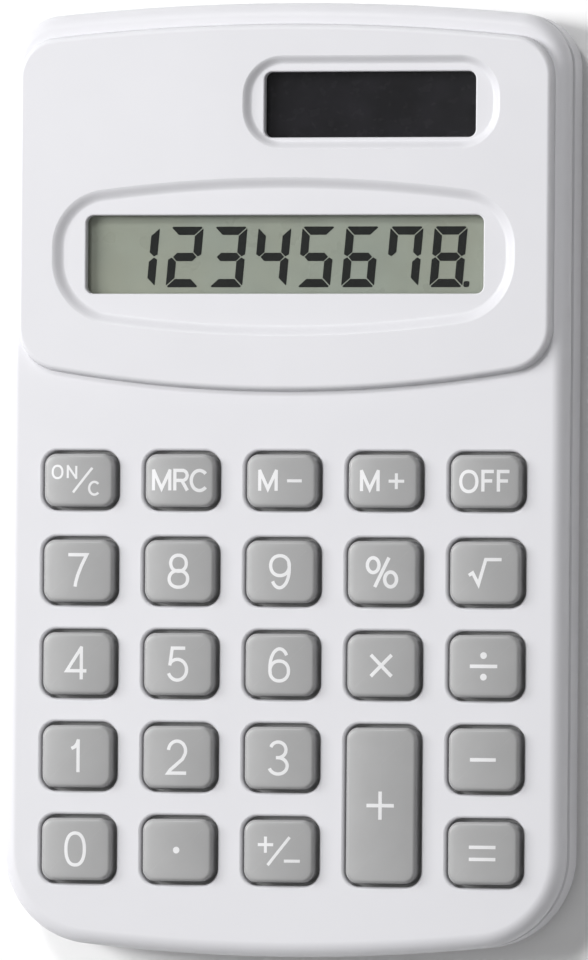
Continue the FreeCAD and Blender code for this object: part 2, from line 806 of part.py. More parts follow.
def box(name, x, y, z, across, along, up):
    o = doc.addObject("Part::Box", name)
    bind(o, "Length", across)
    bind(o, "Width", along)
    bind(o, "Height", up)
    place(o, length(x) - length(across) * 0.5, length(y) - length(along) * 0.5, z)
    return o


def cylinder(name, x, y, z, diameter, up):
    o = doc.addObject("Part::Cylinder", name)
    bind(o, "Radius", length(diameter) * 0.5)
    bind(o, "Height", up)
    place(o, x, y, z)
    return o


def screw(name, x, y, head_bottom, head, head_height, shank, tip):
    """A pan-head screw pointing up, with a cross in its head."""
    top = cylinder(name + "_head", x, y, head_bottom, head, head_height)
    rod = cylinder(name + "_shank", x, y, head_bottom + head_height * 0.5, shank, tip - head_bottom - length(head_height) * 0.5)
    whole = doc.addObject("Part::Fuse", name + "_whole")
    whole.Base, whole.Tool = top, rod
    bars = []
    for i in (0, 1):
        across, along = (head * 0.62, head * 0.16) if i else (head * 0.16, head * 0.62)
        bars.append(box("%s_bar_%d" % (name, i), x, y, head_bottom - 0.3, across, along, head_height * 0.55 + 0.3))
    cross = doc.addObject("Part::Fuse", name + "_cross")
    cross.Base, cross.Tool = bars
    cut = doc.addObject("Part::Cut", name)
    cut.Base, cut.Tool = whole, cross
    return cut


compound(
    "case_screws",
    [
        screw("case_screw_%d" % i, x * side, y, d.screw_bore_depth - d.screw_head_height, d.screw_head, d.screw_head_height, d.screw_shank, d.screw_tip)
        for i, (side, x, y) in enumerate(CASE_SCREWS)
    ],
)
compound(
    "board_screws",
    [
        screw("board_screw_%d" % i, x * side, y, board_bottom - d.board_screw_head_height, d.board_screw_head, d.board_screw_head_height, d.board_screw_shank, d.board_screw_tip)
        for i, (side, x, y) in enumerate(BOARD_SCREWS)
    ],
)
compound(
    "chip_capacitors",
    [
        box("capacitor_%d" % i, length(x), length(y), board_bottom - 0.9, length(w), length(h), length(0.9))
        for i, (x, y, w, h) in enumerate(
            ((8.0, -12.0, 2.0, 1.25), (8.0, -15.0, 2.0, 1.25), (12.5, -13.5, 1.25, 2.0), (-18.0, -20.0, 3.2, 1.6))
        )
    ],
)

# ------------------------------------------------------------ dome mat and its carbon pills
mat = new_body("key_mat", z=d.mat_bottom)
s = new_sketch(mat, "mat_sketch", y=(d.mat_top - d.mat_end) * 0.5)
draw_rounded(s, d.mat_half_width * 2, d.mat_top + d.mat_end, length(2.0))
pad(mat, s, d.mat_thickness, "mat_sheet")


def dome(name, row):
    """A hollow rubber dome turned about its own axis, repeated along a row."""
    x, y = key_x(-2), key_y(row)
    s = new_sketch(mat, name + "_sketch", role="XZ_Plane", x=x, z=-y)
    top = d.dome_top - d.mat_bottom
    draw_points(
        s,
        [
            (0, d.mat_thickness * 0.5),
            (d.dome_base * 0.5, d.mat_thickness * 0.5),
            (d.dome_base * 0.5, d.mat_thickness),
            (d.dome_head * 0.5, top - d.dome_roof),
            (d.dome_head * 0.5, top),
            (0, top),
        ],
    )
    a = mat.newObject("PartDesign::Revolution", name)
    a.Profile = s
    a.ReferenceAxis = (s, ["V_Axis"])
    a.Angle = 360
    doc.recompute()
    s = new_sketch(mat, name + "_hollow_sketch", role="XZ_Plane", x=x, z=-y)
    draw_points(
        s,
        [
            (0, -0.5),
            (d.dome_base * 0.5 - d.dome_skin, -0.5),
            (d.dome_base * 0.5 - d.dome_skin, d.mat_thickness),
            (d.dome_head * 0.5 - d.dome_skin * 0.6, top - d.dome_roof),
            (0, top - d.dome_roof),
        ],
    )
    c = mat.newObject("PartDesign::Groove", name + "_hollow")
    c.Profile = s
    c.ReferenceAxis = (s, ["V_Axis"])
    c.Angle = 360
    doc.recompute()
    return grid(mat, [a, c], name + "_row", d.key_pitch_across, 5)


for row in range(5):
    dome("dome_%d" % row, row)

pill_z = d.dome_top - d.dome_roof - d.pill_thickness
compound(
    "carbon_pills",
    [
        cylinder("pill_%d_%d" % (row, column + 2), key_x(column), key_y(row), pill_z, d.pill_diameter, d.pill_thickness)
        for row in range(5)
        for column in range(-2, 3)
    ],
)

# ------------------------------------------------------------ keys
KEYS = [
    ("key_on_clear", -2, 0), ("key_memory_recall", -1, 0), ("key_memory_minus", 0, 0),
    ("key_memory_plus", 1, 0), ("key_off", 2, 0),
    ("key_7", -2, 1), ("key_8", -1, 1), ("key_9", 0, 1), ("key_percent", 1, 1), ("key_root", 2, 1),
    ("key_4", -2, 2), ("key_5", -1, 2), ("key_6", 0, 2), ("key_times", 1, 2), ("key_divide", 2, 2),
    ("key_1", -2, 3), ("key_2", -1, 3), ("key_3", 0, 3), ("key_minus", 2, 3),
    ("key_0", -2, 4), ("key_point", -1, 4), ("key_sign", 0, 4), ("key_equals", 2, 4),
]


def key(label, x, y, long_side, plungers):
    b = new_body(label, x=x, y=y)
    s = new_sketch(b, label + "_cap_sketch", z=d.flange_bottom)
    draw_rounded(s, d.key_width, long_side, d.key_corner)
    pad(b, s, d.key_top - d.flange_bottom + 0.3, label + "_cap")
    # the top is bowed across the width
    s = new_sketch(b, label + "_crown_sketch", role="XZ_Plane")
    reach = d.key_width * 0.5 + 1.0
    r = d.key_crown.n
    low = d.key_top.n - r + math.sqrt(r * r - reach.n**2)
    a0 = math.atan2(low - d.key_top.n + r, reach.n)
    s.addGeometry(arc(0, d.key_top.n - r, r, a0, math.pi - a0))
    s.addGeometry(line(-reach.n, low, -reach.n, d.key_top.n + 1))
    s.addGeometry(line(-reach.n, d.key_top.n + 1, reach.n, d.key_top.n + 1))
    s.addGeometry(line(reach.n, d.key_top.n + 1, reach.n, low))
    constrain(s, "Coincident", 0, 2, 1, 1)
    constrain(s, "Coincident", 1, 2, 2, 1)
    constrain(s, "Coincident", 2, 2, 3, 1)
    constrain(s, "Coincident", 3, 2, 0, 1)
    constrain(s, "Vertical", 1)
    constrain(s, "Vertical", 3)
    constrain(s, "Horizontal", 2)
    constrain(s, "PointOnObject", 0, 3, -2)
    dimension(s, "bow", "Radius", (0,), d.key_crown)
    if d.key_top.n > r:
        dimension(s, "centre", "DistanceY", (-1, 1, 0, 3), d.key_top - d.key_crown)
    else:
        dimension(s, "centre", "DistanceY", (0, 3, -1, 1), d.key_crown - d.key_top)
    dimension(s, "right", "DistanceX", (-1, 1, 2, 2), reach)
    dimension(s, "left", "DistanceX", (1, 1, -1, 1), reach)
    dimension(s, "above", "DistanceY", (-1, 1, 2, 1), d.key_top + 1.0)
    f = pocket(b, s, long_side + 4.0, label + "_crown", both=True)
    f = fillet(b, f, lambda e: e.BoundBox.ZMin > d.key_top.n - 0.75, d.key_edge, label + "_edge")
    s = new_sketch(b, label + "_flange_sketch", z=d.flange_bottom)
    draw_rounded(s, d.key_width + d.flange_margin * 2, long_side + d.flange_margin * 2, d.key_corner + 0.3)
    pad(b, s, d.flange_height, label + "_flange")
    s = new_sketch(b, label + "_hollow_sketch", z=d.flange_bottom)
    draw_rounded(s, d.key_width - d.key_hollow_wall * 2, long_side - d.key_hollow_wall * 2, length(0.6))
    pocket(b, s, d.key_hollow_depth, label + "_hollow", up=True)
    for i, dy in enumerate(plungers):
        s = new_sketch(b, "%s_plunger_%d_sketch" % (label, i), y=dy, z=d.flange_bottom)
        draw_circle(s, d.plunger_diameter)
        pad(b, s, d.key_hollow_depth + 0.2, "%s_plunger_%d" % (label, i))
    return b


for label, column, row in KEYS:
    key(label, key_x(column), key_y(row), d.function_length if row == 0 else d.key_length, [None])
key("key_plus", key_x(1), tall_y, tall_length, [d.key_pitch_along * 0.5, d.key_pitch_along * -0.5])

# ------------------------------------------------------------ cell, contacts, cover, wires
cylinder_cell = new_body("battery_cell", x=d.battery_x, y=d.battery_y, z=d.battery_bottom)
s = new_sketch(cylinder_cell, "cell_can_sketch", z=d.battery_height)
draw_circle(s, d.battery_diameter)
f = pad(cylinder_cell, s, d.battery_height - 0.35, "cell_can", down=True)
f = fillet(cylinder_cell, f, lambda e: level(e, 0.35) or level(e, d.battery_height.n), length(0.3), "cell_can_round")
s = new_sketch(cylinder_cell, "cell_cap_sketch")
draw_circle(s, d.battery_diameter - 2.0)
f = pad(cylinder_cell, s, length(0.5), "cell_cap")

b = new_body("battery_contact_negative", x=d.battery_x, y=d.battery_y, z=d.well_top)
s = new_sketch(b, "leaf_sketch", y=length(-0.3))
draw_rounded(s, d.contact_width, d.well_outside + 0.2, length(0.4))
pad(b, s, d.contact_thickness, "leaf")
s = new_sketch(b, "dimple_sketch", z=d.battery_bottom + d.battery_height - d.well_top)
draw_circle(s, length(2.4))
pad(b, s, d.well_top - d.battery_bottom - d.battery_height + d.contact_thickness * 0.5, "dimple")

b = new_body("battery_contact_positive", x=d.battery_x, y=d.battery_y)
s = new_sketch(b, "side_contact_sketch", role="XZ_Plane")
side = d.battery_diameter * 0.5 + 0.02
draw_points(
    s,
    [
        (side, d.well_base + 0.1),
        (side + d.contact_thickness, d.well_base + 0.1),
        (side + d.contact_thickness, d.well_top),
        (side + 3.4, d.well_top),
        (side + 3.4, d.well_top + d.contact_thickness),
        (side, d.well_top + d.contact_thickness),
    ],
)
pad(b, s, d.contact_width, "side_contact", both=True)

b = new_body("battery_cover", x=d.cover_x, y=d.battery_y, z=d.cover_recess - d.cover_thickness)
s = new_sketch(b, "cover_sketch")
draw_rounded(s, d.cover_width - d.cover_play * 2, d.cover_length - d.cover_play * 2, d.cover_corner - d.cover_play)
f = pad(b, s, d.cover_thickness, "cover_plate")
f = chamfer(b, f, lambda e: level(e, 0.0), length(0.2), "cover_easing")
s = new_sketch(b, "cover_bore_sketch", x=d.cover_screw_x - d.cover_x, z=-0.2)
draw_circle(s, d.screw_bore)
f = pocket(b, s, length(0.9), "cover_bore", up=True)
s = new_sketch(b, "cover_way_sketch", x=d.cover_screw_x - d.cover_x, z=-0.2)
draw_circle(s, d.screw_clearance)
f = pocket(b, s, length(2.0), "cover_way", up=True)
# finger grooves on the outside of the cover
s = new_sketch(b, "cover_groove_sketch", x=length(-8.4), z=-0.2)
draw_rounded(s, length(0.7), length(6.0), length(0.3))
f = pocket(b, s, length(0.45), "cover_groove", up=True)
f = grid(b, [f], "cover_groove_row", length(1.5), 4)

screw("battery_cover_screw", d.cover_screw_x, d.battery_y, d.cover_recess - d.cover_thickness + 0.1, d.board_screw_head, length(0.6), d.screw_shank, length(4.2)).Label = "battery_cover_screw"
doc.recompute()


def run_of(points, share=0.45):
    """Straight runs through the points, joined by tangent arcs at the inner ones."""
    pts = [V(*p) for p in points]
    edges, last = [], pts[0]
    for before, here, after in zip(pts, pts[1:], pts[2:]):
        back, on = (before - here).normalize(), (after - here).normalize()
        turn = math.pi - back.getAngle(on)
        shorter = min((before - here).Length, (after - here).Length)
        reach = share * shorter
        radius = reach / math.tan(turn / 2)
        bisector = (back + on).normalize()
        centre = here + bisector * (math.hypot(radius, reach))
        first, second = here + back * reach, here + on * reach
        middle = centre - bisector * radius
        edges.append(Part.LineSegment(last, first).toShape())
        edges.append(Part.Arc(first, middle, second).toShape())
        last = second
    edges.append(Part.LineSegment(last, pts[-1]).toShape())
    return edges, (pts[1] - pts[0]).normalize()


def wires(label, paths):
    """Insulated leads as swept tubes. Their paths are free runs, so they come from Part functions."""
    solids = []
    for points in paths:
        edges, tangent = run_of(points)
        spine = Part.Wire(edges)
        ring = Part.Wire([Part.Circle(V(*points[0]), tangent, d.wire_diameter.n / 2).toShape()])
        tube = spine.makePipeShell([ring], True, True)
        exact = math.pi * d.wire_diameter.n ** 2 / 4 * spine.Length
        if not tube.isValid() or abs(tube.Volume - exact) > 0.02 * exact:
            raise SystemExit("lead %s is not a clean tube: %.3f for %.3f" % (label, tube.Volume, exact))
        solids.append(tube)
    o = doc.addObject("Part::Feature", label)
    o.Shape = Part.makeCompound(solids)
    o.Label = label
    o.Placement = FreeCAD.Placement()
    doc.recompute()
    return o


landing = d.board_top.n - 0.65
land_z = d.mat_bottom.n + 0.05
cell_under = cell_top.n - d.solar_cell_glass.n
lead_z = cell_under - d.wire_diameter.n / 2 - 0.05
wires(
    "solar_wires",
    [
        [
            (x, d.solar_y.n - 3.4, lead_z),
            (x, d.solar_y.n - 5.4, lead_z - 0.25),
            (x, landing, lead_z - 0.9),
            (x, landing, land_z),
        ]
        for x in (d.solar_x.n - 11.5, d.solar_x.n + 13.3)
    ],
)
tab_top = d.well_top.n + d.contact_thickness.n + d.wire_diameter.n / 2 + 0.06
wires(
    "battery_wires",
    [
        [
            (d.battery_x.n, d.battery_y.n - 5.6, tab_top),
            (d.battery_x.n, landing, tab_top + 0.35),
            (d.battery_x.n, landing, land_z),
        ],
        [
            (d.battery_x.n + 8.4, d.battery_y.n + 0.4, tab_top),
            (d.battery_x.n + 8.5, d.battery_y.n - 3.0, tab_top + 0.1),
            (d.battery_x.n + 8.4, landing, tab_top + 0.4),
            (d.battery_x.n + 8.4, landing, land_z),
        ],
    ],
)


doc.recompute()

NODES = [
    "front_shell", "rear_shell", "display_window", "solar_window", "lcd_panel", "lcd_reflector",
    "lcd_holder", "zebra_strip", "solar_cell", "solar_foam_pad", "solar_wires", "battery_wires",
    "circuit_board", "chip_blob", "chip_capacitors", "board_screws", "key_mat", "carbon_pills",
    "battery_cell", "battery_contact_positive", "battery_contact_negative", "battery_cover",
    "battery_cover_screw", "case_screws", "key_plus",
] + [k[0] for k in KEYS]

bad = []
for o in doc.Objects:
    if "Invalid" in o.State or "Error" in o.State:
        bad.append((o.Label, o.State))
if bad:
    print("BAD OBJECTS", bad)
for name in NODES:
    found = [o for o in doc.Objects if o.Label == name and hasattr(o, "Shape")]
    if len(found) != 1:
        raise SystemExit("node %s: %d objects" % (name, len(found)))
    shape = found[0].Shape
    if shape.isNull() or not shape.isValid():
        raise SystemExit("node %s has a bad shape" % name)
    b = shape.BoundBox
    print("%-26s solids %2d  vol %9.2f  x %7.2f %7.2f  y %7.2f %7.2f  z %6.2f %6.2f" % (
        name, len(shape.Solids), shape.Volume, b.XMin, b.XMax, b.YMin, b.YMax, b.ZMin, b.ZMax))
    shape.exportStep("parts/%s.step" % name)
if bad:
    raise SystemExit("some objects did not compute")
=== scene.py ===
import math

import bmesh
import bpy
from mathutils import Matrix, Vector, geometry


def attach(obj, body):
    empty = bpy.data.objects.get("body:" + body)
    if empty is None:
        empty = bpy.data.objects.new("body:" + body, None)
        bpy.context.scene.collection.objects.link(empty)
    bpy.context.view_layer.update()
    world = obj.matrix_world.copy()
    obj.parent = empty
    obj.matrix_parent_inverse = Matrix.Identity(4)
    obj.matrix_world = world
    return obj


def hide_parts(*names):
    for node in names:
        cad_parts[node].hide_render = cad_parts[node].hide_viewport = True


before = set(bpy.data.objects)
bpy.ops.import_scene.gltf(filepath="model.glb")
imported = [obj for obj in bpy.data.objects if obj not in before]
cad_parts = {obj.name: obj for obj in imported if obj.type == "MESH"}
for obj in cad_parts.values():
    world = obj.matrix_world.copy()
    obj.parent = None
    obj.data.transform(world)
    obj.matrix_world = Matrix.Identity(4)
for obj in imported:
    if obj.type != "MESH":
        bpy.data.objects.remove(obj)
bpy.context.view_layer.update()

MM = 0.001
PI = math.pi

# ---------------------------------------------------------------- sizes, in millimetres, as the solids have them
DECK, PANEL, PARTING, REAR = 9.6, 10.9, 6.6, 6.45
DISH = 0.7
PITCH_X, PITCH_Y, FUNCTION_PITCH, FUNCTION_Y = 12.3, 10.9, 10.65, -0.2
KEY_W, KEY_L, FUNCTION_L, KEY_R = 8.5, 7.3, 6.2, 1.45
KEY_TOP, CROWN_R, KEY_EDGE = 10.85, 26.0, 0.45
GAP, FLANGE = 0.42, 0.85
BODY = (34.0, 55.95, 55.95, 290.0, 225.0, 6.5, 11.0)
PANEL_LINE = (32.15, 53.2, -10.5, 262.0, 165.0, 4.6, 5.2)
DISH_LINE = (27.85, 35.2, -16.9, 170.0, 160.0, 6.6, 7.4)


def key_x(column):
    return PITCH_X * column


def key_y(row):
    return FUNCTION_Y if row == 0 else FUNCTION_Y - FUNCTION_PITCH - PITCH_Y * (row - 1)


TALL_L = KEY_L + PITCH_Y
TALL_Y = (key_y(3) + key_y(4)) / 2


# ---------------------------------------------------------------- outlines
def sweep(cx, cy, r, a, b, n):
    return [(cx + r * math.cos(a + (b - a) * i / n), cy + r * math.sin(a + (b - a) * i / n)) for i in range(n)]


def straight(x0, y0, x1, y1, n):
    return [(x0 + (x1 - x0) * i / n, y0 + (y1 - y0) * i / n) for i in range(n)]


def casing_line(line, inset=0.0, n=(24, 20, 72, 24)):
    """A bowed outline with rounded corners, moved inwards. Every inset has the same number of points."""
    w, top, bottom, rt_, rb_, ct, cb = line
    w, top, bottom = w - inset, top - inset, bottom - inset
    big_t, big_b = rt_ - inset, rb_ - inset
    rt, rb = max(ct - inset, 0.05), max(cb - inset, 0.05)
    oy, uy = top - big_t, big_b - bottom
    yt = oy + math.sqrt((big_t - rt) ** 2 - (w - rt) ** 2)
    yb = uy - math.sqrt((big_b - rb) ** 2 - (w - rb) ** 2)
    at, ab = math.atan2(yt - oy, w - rt), math.atan2(yb - uy, w - rb)
    p = straight(w, yb, w, yt, n[0])
    p += sweep(w - rt, yt, rt, 0, at, n[1])
    p += sweep(0, oy, big_t, at, PI - at, n[2])
    p += sweep(rt - w, yt, rt, PI - at, PI, n[1])
    p += straight(-w, yt, -w, yb, n[0])
    p += sweep(rb - w, yb, rb, PI, PI - ab, n[3])
    p += sweep(0, uy, big_b, PI - ab, 2 * PI + ab, n[2])
    p += sweep(w - rb, yb, rb, 2 * PI + ab, 2 * PI, n[3])
    return p


def box_line(x, y, w, h, r, inset=0.0, n=(6, 10)):
    """A rounded rectangle moved inwards."""
    a, b = w / 2 - inset, h / 2 - inset
    c = min(max(r - inset, 0.03), a * 0.98, b * 0.98)
    p = []
    for sx, sy, start in ((1, 1, 0), (-1, 1, PI / 2), (-1, -1, PI), (1, -1, 1.5 * PI)):
        p += sweep(x + sx * (a - c), y + sy * (b - c), c, start, start + PI / 2, n[1])
        q = (x + sx * (a - c) + c * math.cos(start + PI / 2), y + sy * (b - c) + c * math.sin(start + PI / 2))
        if start in (0, PI):
            end = (x - sx * (a - c), q[1])
        else:
            end = (q[0], y - sy * (b - c))
        p += straight(q[0], q[1], end[0], end[1], n[0])
    return p


def round_line(x, y, r, n=48):
    return sweep(x, y, r, 0, 2 * PI, n)


# ---------------------------------------------------------------- meshes
def new_object(name, bm):
    bmesh.ops.recalc_face_normals(bm, faces=bm.faces)
    mesh = bpy.data.meshes.new(name)
    bm.to_mesh(mesh)
    bm.free()
    o = bpy.data.objects.new(name, mesh)
    bpy.context.collection.objects.link(o)
    return o


def add_stack(bm, rings, closed=False):
    """Skins rings of (x, y, z) points in millimetres. The first and last rings are capped, or joined if closed."""
    made = [[bm.verts.new((x * MM, y * MM, z * MM)) for x, y, z in ring] for ring in rings]
    pairs = list(zip(made, made[1:]))
    if closed:
        pairs.append((made[-1], made[0]))
    for low, high in pairs:
        n = len(low)
        for i in range(n):
            bm.faces.new((low[i], low[(i + 1) % n], high[(i + 1) % n], high[i]))
    if not closed:
        bm.faces.new(list(reversed(made[0])))
        bm.faces.new(made[-1])


def stack(name, rings, closed=False):
    bm = bmesh.new()
    add_stack(bm, rings, closed)
    return new_object(name, bm)


def at(points, z):
    return [(x, y, z) for x, y in points]


def arc_steps(n, start=0.0, end=PI / 2):
    return [start + (end - start) * i / n for i in range(n + 1)]


def combine(target, tool, kind):
    m = target.modifiers.new("cut", "BOOLEAN")
    m.operation = kind
    m.solver = "EXACT"
    m.object = tool
    deps = bpy.context.evaluated_depsgraph_get()
    mesh = bpy.data.meshes.new_from_object(target.evaluated_get(deps), depsgraph=deps)
    target.modifiers.clear()
    old = target.data
    target.data = mesh
    bpy.data.meshes.remove(old)
    bpy.data.objects.remove(tool)


def tidy(o, angle=28.0, weighted=True):
    """Smooth faces with sharp edges where the surface really turns."""
    bm = bmesh.new()
    bm.from_mesh(o.data)
    bmesh.ops.remove_doubles(bm, verts=bm.verts, dist=1e-7)
    bmesh.ops.dissolve_degenerate(bm, edges=bm.edges, dist=1e-7)
    for f in bm.faces:
        f.smooth = True
    limit = math.radians(angle)
    for e in bm.edges:
        e.smooth = not (len(e.link_faces) != 2 or e.calc_face_angle(0.0) > limit)
    bm.to_mesh(o.data)
    bm.free()
    if weighted:
        w = o.modifiers.new("normals", "WEIGHTED_NORMAL")
        w.mode = "FACE_AREA"
        w.weight = 50
        w.keep_sharp = True


def cutter(name, lines):
    """Several cutters in one mesh. Each is a list of (line function of inset, [(inset, z), ...])."""
    bm = bmesh.new()
    for line, profile in lines:
        add_stack(bm, [at(line(inset), z) for inset, z in profile])
    return new_object(name, bm)


def rim(top, radius, bottom, first=0.22, steps=5):
    """The profile of a hole with a rounded mouth, from above its top down."""
    out = []
    for a in arc_steps(steps, first):
        out.append((-radius + radius * math.sin(a), top - radius + radius * math.cos(a)))
    return [(out[0][0], top + 0.6)] + out + [(0.0, bottom)]


def keep(o, name, body, slot, *nodes):
    o.name = name
    o.data.name = name
    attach(o, body)
    if nodes:
        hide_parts(*nodes)
    return o


# ---------------------------------------------------------------- materials
def link(nt, a, b):
    nt.links.new(a, b)


def node(nt, kind, **values):
    n = nt.nodes.new(kind)
    for k, v in values.items():
        if hasattr(n, k):
            setattr(n, k, v)
        else:
            n.inputs[k].default_value = v
    return n


def surface(name, base, rough, *, vary=0.04, spread=90.0, grain=0.0, grain_scale=9000.0, rough_vary=0.05,
            specular=0.5, metallic=0.0, coat=0.0, sheen=0.0, second=None, painted_edge_highlight=0.0, anisotropic=0.0):
    """Moulded plastic, rubber or metal: slight mottling, a fine surface grain and uneven gloss, all in object space."""
    m = bpy.data.materials.new(name)
    m.use_nodes = True
    nt = m.node_tree
    nt.nodes.clear()
    out = nt.nodes.new("ShaderNodeOutputMaterial")
    s = nt.nodes.new("ShaderNodeBsdfPrincipled")
    link(nt, s.outputs[0], out.inputs[0])
    s.inputs["Metallic"].default_value = metallic
    s.inputs["Specular IOR Level"].default_value = specular
    s.inputs["Coat Weight"].default_value = coat
    s.inputs["Sheen Weight"].default_value = sheen
    s.inputs["Anisotropic"].default_value = anisotropic
    where = nt.nodes.new("ShaderNodeTexCoord")
    broad = node(nt, "ShaderNodeTexNoise", Scale=spread, Detail=4.0, Roughness=0.55)
    link(nt, where.outputs["Object"], broad.inputs["Vector"])
    ramp = nt.nodes.new("ShaderNodeValToRGB")
    low = [max(c * (1 - vary), 0) for c in base]
    high = [min(c * (1 + vary), 1) for c in (second or base)]
    ramp.color_ramp.elements[0].position = 0.3
    ramp.color_ramp.elements[1].position = 0.7
    ramp.color_ramp.elements[0].color = (*low, 1)
    ramp.color_ramp.elements[1].color = (*high, 1)
    link(nt, broad.outputs["Fac"], ramp.inputs["Fac"])
    colour = ramp.outputs["Color"]
    # painted edge highlight: where pointiness is high, on convex edges, the colour is mixed toward a lighter copy of
    # the base, standing in for light caught by rounded edges
    if painted_edge_highlight > 0:
        near = nt.nodes.new("ShaderNodeNewGeometry")
        edge = nt.nodes.new("ShaderNodeMapRange")
        edge.inputs["From Min"].default_value = 0.5
        edge.inputs["From Max"].default_value = 0.62
        edge.inputs["To Max"].default_value = painted_edge_highlight
        link(nt, near.outputs["Pointiness"], edge.inputs["Value"])
        mix = nt.nodes.new("ShaderNodeMix")
        mix.data_type = "RGBA"
        mix.inputs[7].default_value = (*[min(c * 1.35 + 0.03, 1) for c in base], 1)
        link(nt, edge.outputs["Result"], mix.inputs[0])
        link(nt, colour, mix.inputs[6])
        colour = mix.outputs[2]
    link(nt, colour, s.inputs["Base Color"])
    gloss = node(nt, "ShaderNodeTexNoise", Scale=spread * 5, Detail=3.0)
    link(nt, where.outputs["Object"], gloss.inputs["Vector"])
    level = nt.nodes.new("ShaderNodeMapRange")
    level.inputs["From Min"].default_value = 0.3
    level.inputs["From Max"].default_value = 0.7
    level.inputs["To Min"].default_value = rough - rough_vary
    level.inputs["To Max"].default_value = rough + rough_vary
    link(nt, gloss.outputs["Fac"], level.inputs["Value"])
    link(nt, level.outputs["Result"], s.inputs["Roughness"])
    if grain > 0:
        fine = node(nt, "ShaderNodeTexNoise", Scale=grain_scale, Detail=2.0, Roughness=0.6)
        link(nt, where.outputs["Object"], fine.inputs["Vector"])
        bump = node(nt, "ShaderNodeBump", Strength=grain, Distance=0.00002)
        link(nt, fine.outputs["Fac"], bump.inputs["Height"])
        link(nt, bump.outputs["Normal"], s.inputs["Normal"])
    return m


def thin_sheet(name, tint, gloss=0.05):
    """A clear or smoked plastic sheet: light passes straight through, with a faint mirror of the room."""
    m = bpy.data.materials.new(name)
    m.use_nodes = True
    nt = m.node_tree
    nt.nodes.clear()
    out = nt.nodes.new("ShaderNodeOutputMaterial")
    clear = nt.nodes.new("ShaderNodeBsdfTransparent")
    shine = nt.nodes.new("ShaderNodeBsdfGlossy")
    shine.inputs["Roughness"].default_value = gloss
    shine.inputs["Color"].default_value = (1, 1, 1, 1)
    where = nt.nodes.new("ShaderNodeTexCoord")
    haze = node(nt, "ShaderNodeTexNoise", Scale=300.0, Detail=3.0)
    link(nt, where.outputs["Object"], haze.inputs["Vector"])
    ramp = nt.nodes.new("ShaderNodeValToRGB")
    ramp.color_ramp.elements[0].position = 0.35
    ramp.color_ramp.elements[1].position = 0.65
    ramp.color_ramp.elements[0].color = (*[c * 0.985 for c in tint], 1)
    ramp.color_ramp.elements[1].color = (*tint, 1)
    link(nt, haze.outputs["Fac"], ramp.inputs["Fac"])
    link(nt, ramp.outputs["Color"], clear.inputs["Color"])
    rim_ = nt.nodes.new("ShaderNodeFresnel")
    facing = nt.nodes.new("ShaderNodeNewGeometry")
    index = nt.nodes.new("ShaderNodeMath")
    index.operation = "MULTIPLY_ADD"
    index.inputs[1].default_value = 1 / 1.3 - 1.3
    index.inputs[2].default_value = 1.3
    link(nt, facing.outputs["Backfacing"], index.inputs[0])
    link(nt, index.outputs[0], rim_.inputs["IOR"])
    mix = nt.nodes.new("ShaderNodeMixShader")
    link(nt, rim_.outputs[0], mix.inputs[0])
    link(nt, clear.outputs[0], mix.inputs[1])
    link(nt, shine.outputs[0], mix.inputs[2])
    link(nt, mix.outputs[0], out.inputs[0])
    return m


def give(o, m):
    o.data.materials.clear()
    o.data.materials.append(m)


def give_node(name, m):
    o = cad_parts[name]
    if not o.data.materials:
        o.data.materials.append(m)
    for i in range(len(o.material_slots)):
        o.material_slots[i].link = "OBJECT"
        o.material_slots[i].material = m


CASING = surface("casing_plastic_mat", (0.715, 0.713, 0.742), 0.42, vary=0.012, spread=60, grain=0.25, grain_scale=14000, specular=0.42)
# grey key plastic, with a painted highlight along the keys' rounded edges
KEY = surface("key_plastic_mat", (0.36, 0.36, 0.362), 0.38, vary=0.03, spread=220, grain=0.2, grain_scale=12000, specular=0.5, painted_edge_highlight=0.25)
LEGEND = surface("legend_mat", (0.76, 0.76, 0.77), 0.5, vary=0.02, spread=500, grain=0.1)
SEGMENT = surface("segment_mat", (0.010, 0.011, 0.011), 0.6, vary=0.2, spread=900, specular=0.2)
LCD = surface("lcd_mat", (0.415, 0.41, 0.335), 0.3, vary=0.05, spread=45, second=(0.36, 0.385, 0.345), grain=0.06, grain_scale=16000)
CELL = surface("solar_mat", (0.085, 0.085, 0.088), 0.25, vary=0.25, spread=160, second=(0.10, 0.096, 0.108))
HOLDER = surface("holder_mat", (0.70, 0.70, 0.70), 0.5, grain=0.2)
RUBBER_BLACK = surface("black_rubber_mat", (0.02, 0.02, 0.021), 0.75, vary=0.2, grain=0.4)
FOAM = surface("foam_mat", (0.045, 0.045, 0.047), 0.95, vary=0.35, spread=1500, grain=1.0, grain_scale=5000)
SILICONE = surface("silicone_mat", (0.42, 0.44, 0.45), 0.55, vary=0.06, spread=250, grain=0.3)
BOARD = surface("board_mat", (0.02, 0.13, 0.045), 0.35, vary=0.25, spread=380, second=(0.03, 0.17, 0.06), grain=0.3, grain_scale=3000)
RESIN = surface("resin_mat", (0.012, 0.012, 0.012), 0.3, vary=0.3, grain=0.3, grain_scale=2500)
CERAMIC = surface("chip_mat", (0.33, 0.22, 0.12), 0.5, vary=0.15, spread=900, grain=0.3)
STEEL = surface("screw_mat", (0.55, 0.55, 0.57), 0.32, vary=0.08, spread=700, metallic=1.0, grain=0.2, grain_scale=6000)
CAN = surface("cell_can_mat", (0.62, 0.61, 0.6), 0.24, vary=0.06, spread=400, metallic=1.0, grain=0.25, grain_scale=5000)
SPRING = surface("contact_mat", (0.66, 0.63, 0.55), 0.28, vary=0.08, spread=600, metallic=1.0, grain=0.15)
RED = surface("red_lead_mat", (0.42, 0.02, 0.02), 0.4, vary=0.1, spread=500, grain=0.15)
REFLECTOR = surface("reflector_mat", (0.5, 0.52, 0.47), 0.35, vary=0.05, spread=200, metallic=0.6, grain=0.2)
CLEAR = thin_sheet("clear_sheet_mat", (0.93, 0.94, 0.93))
SMOKED = thin_sheet("smoked_sheet_mat", (0.62, 0.62, 0.63), 0.12)

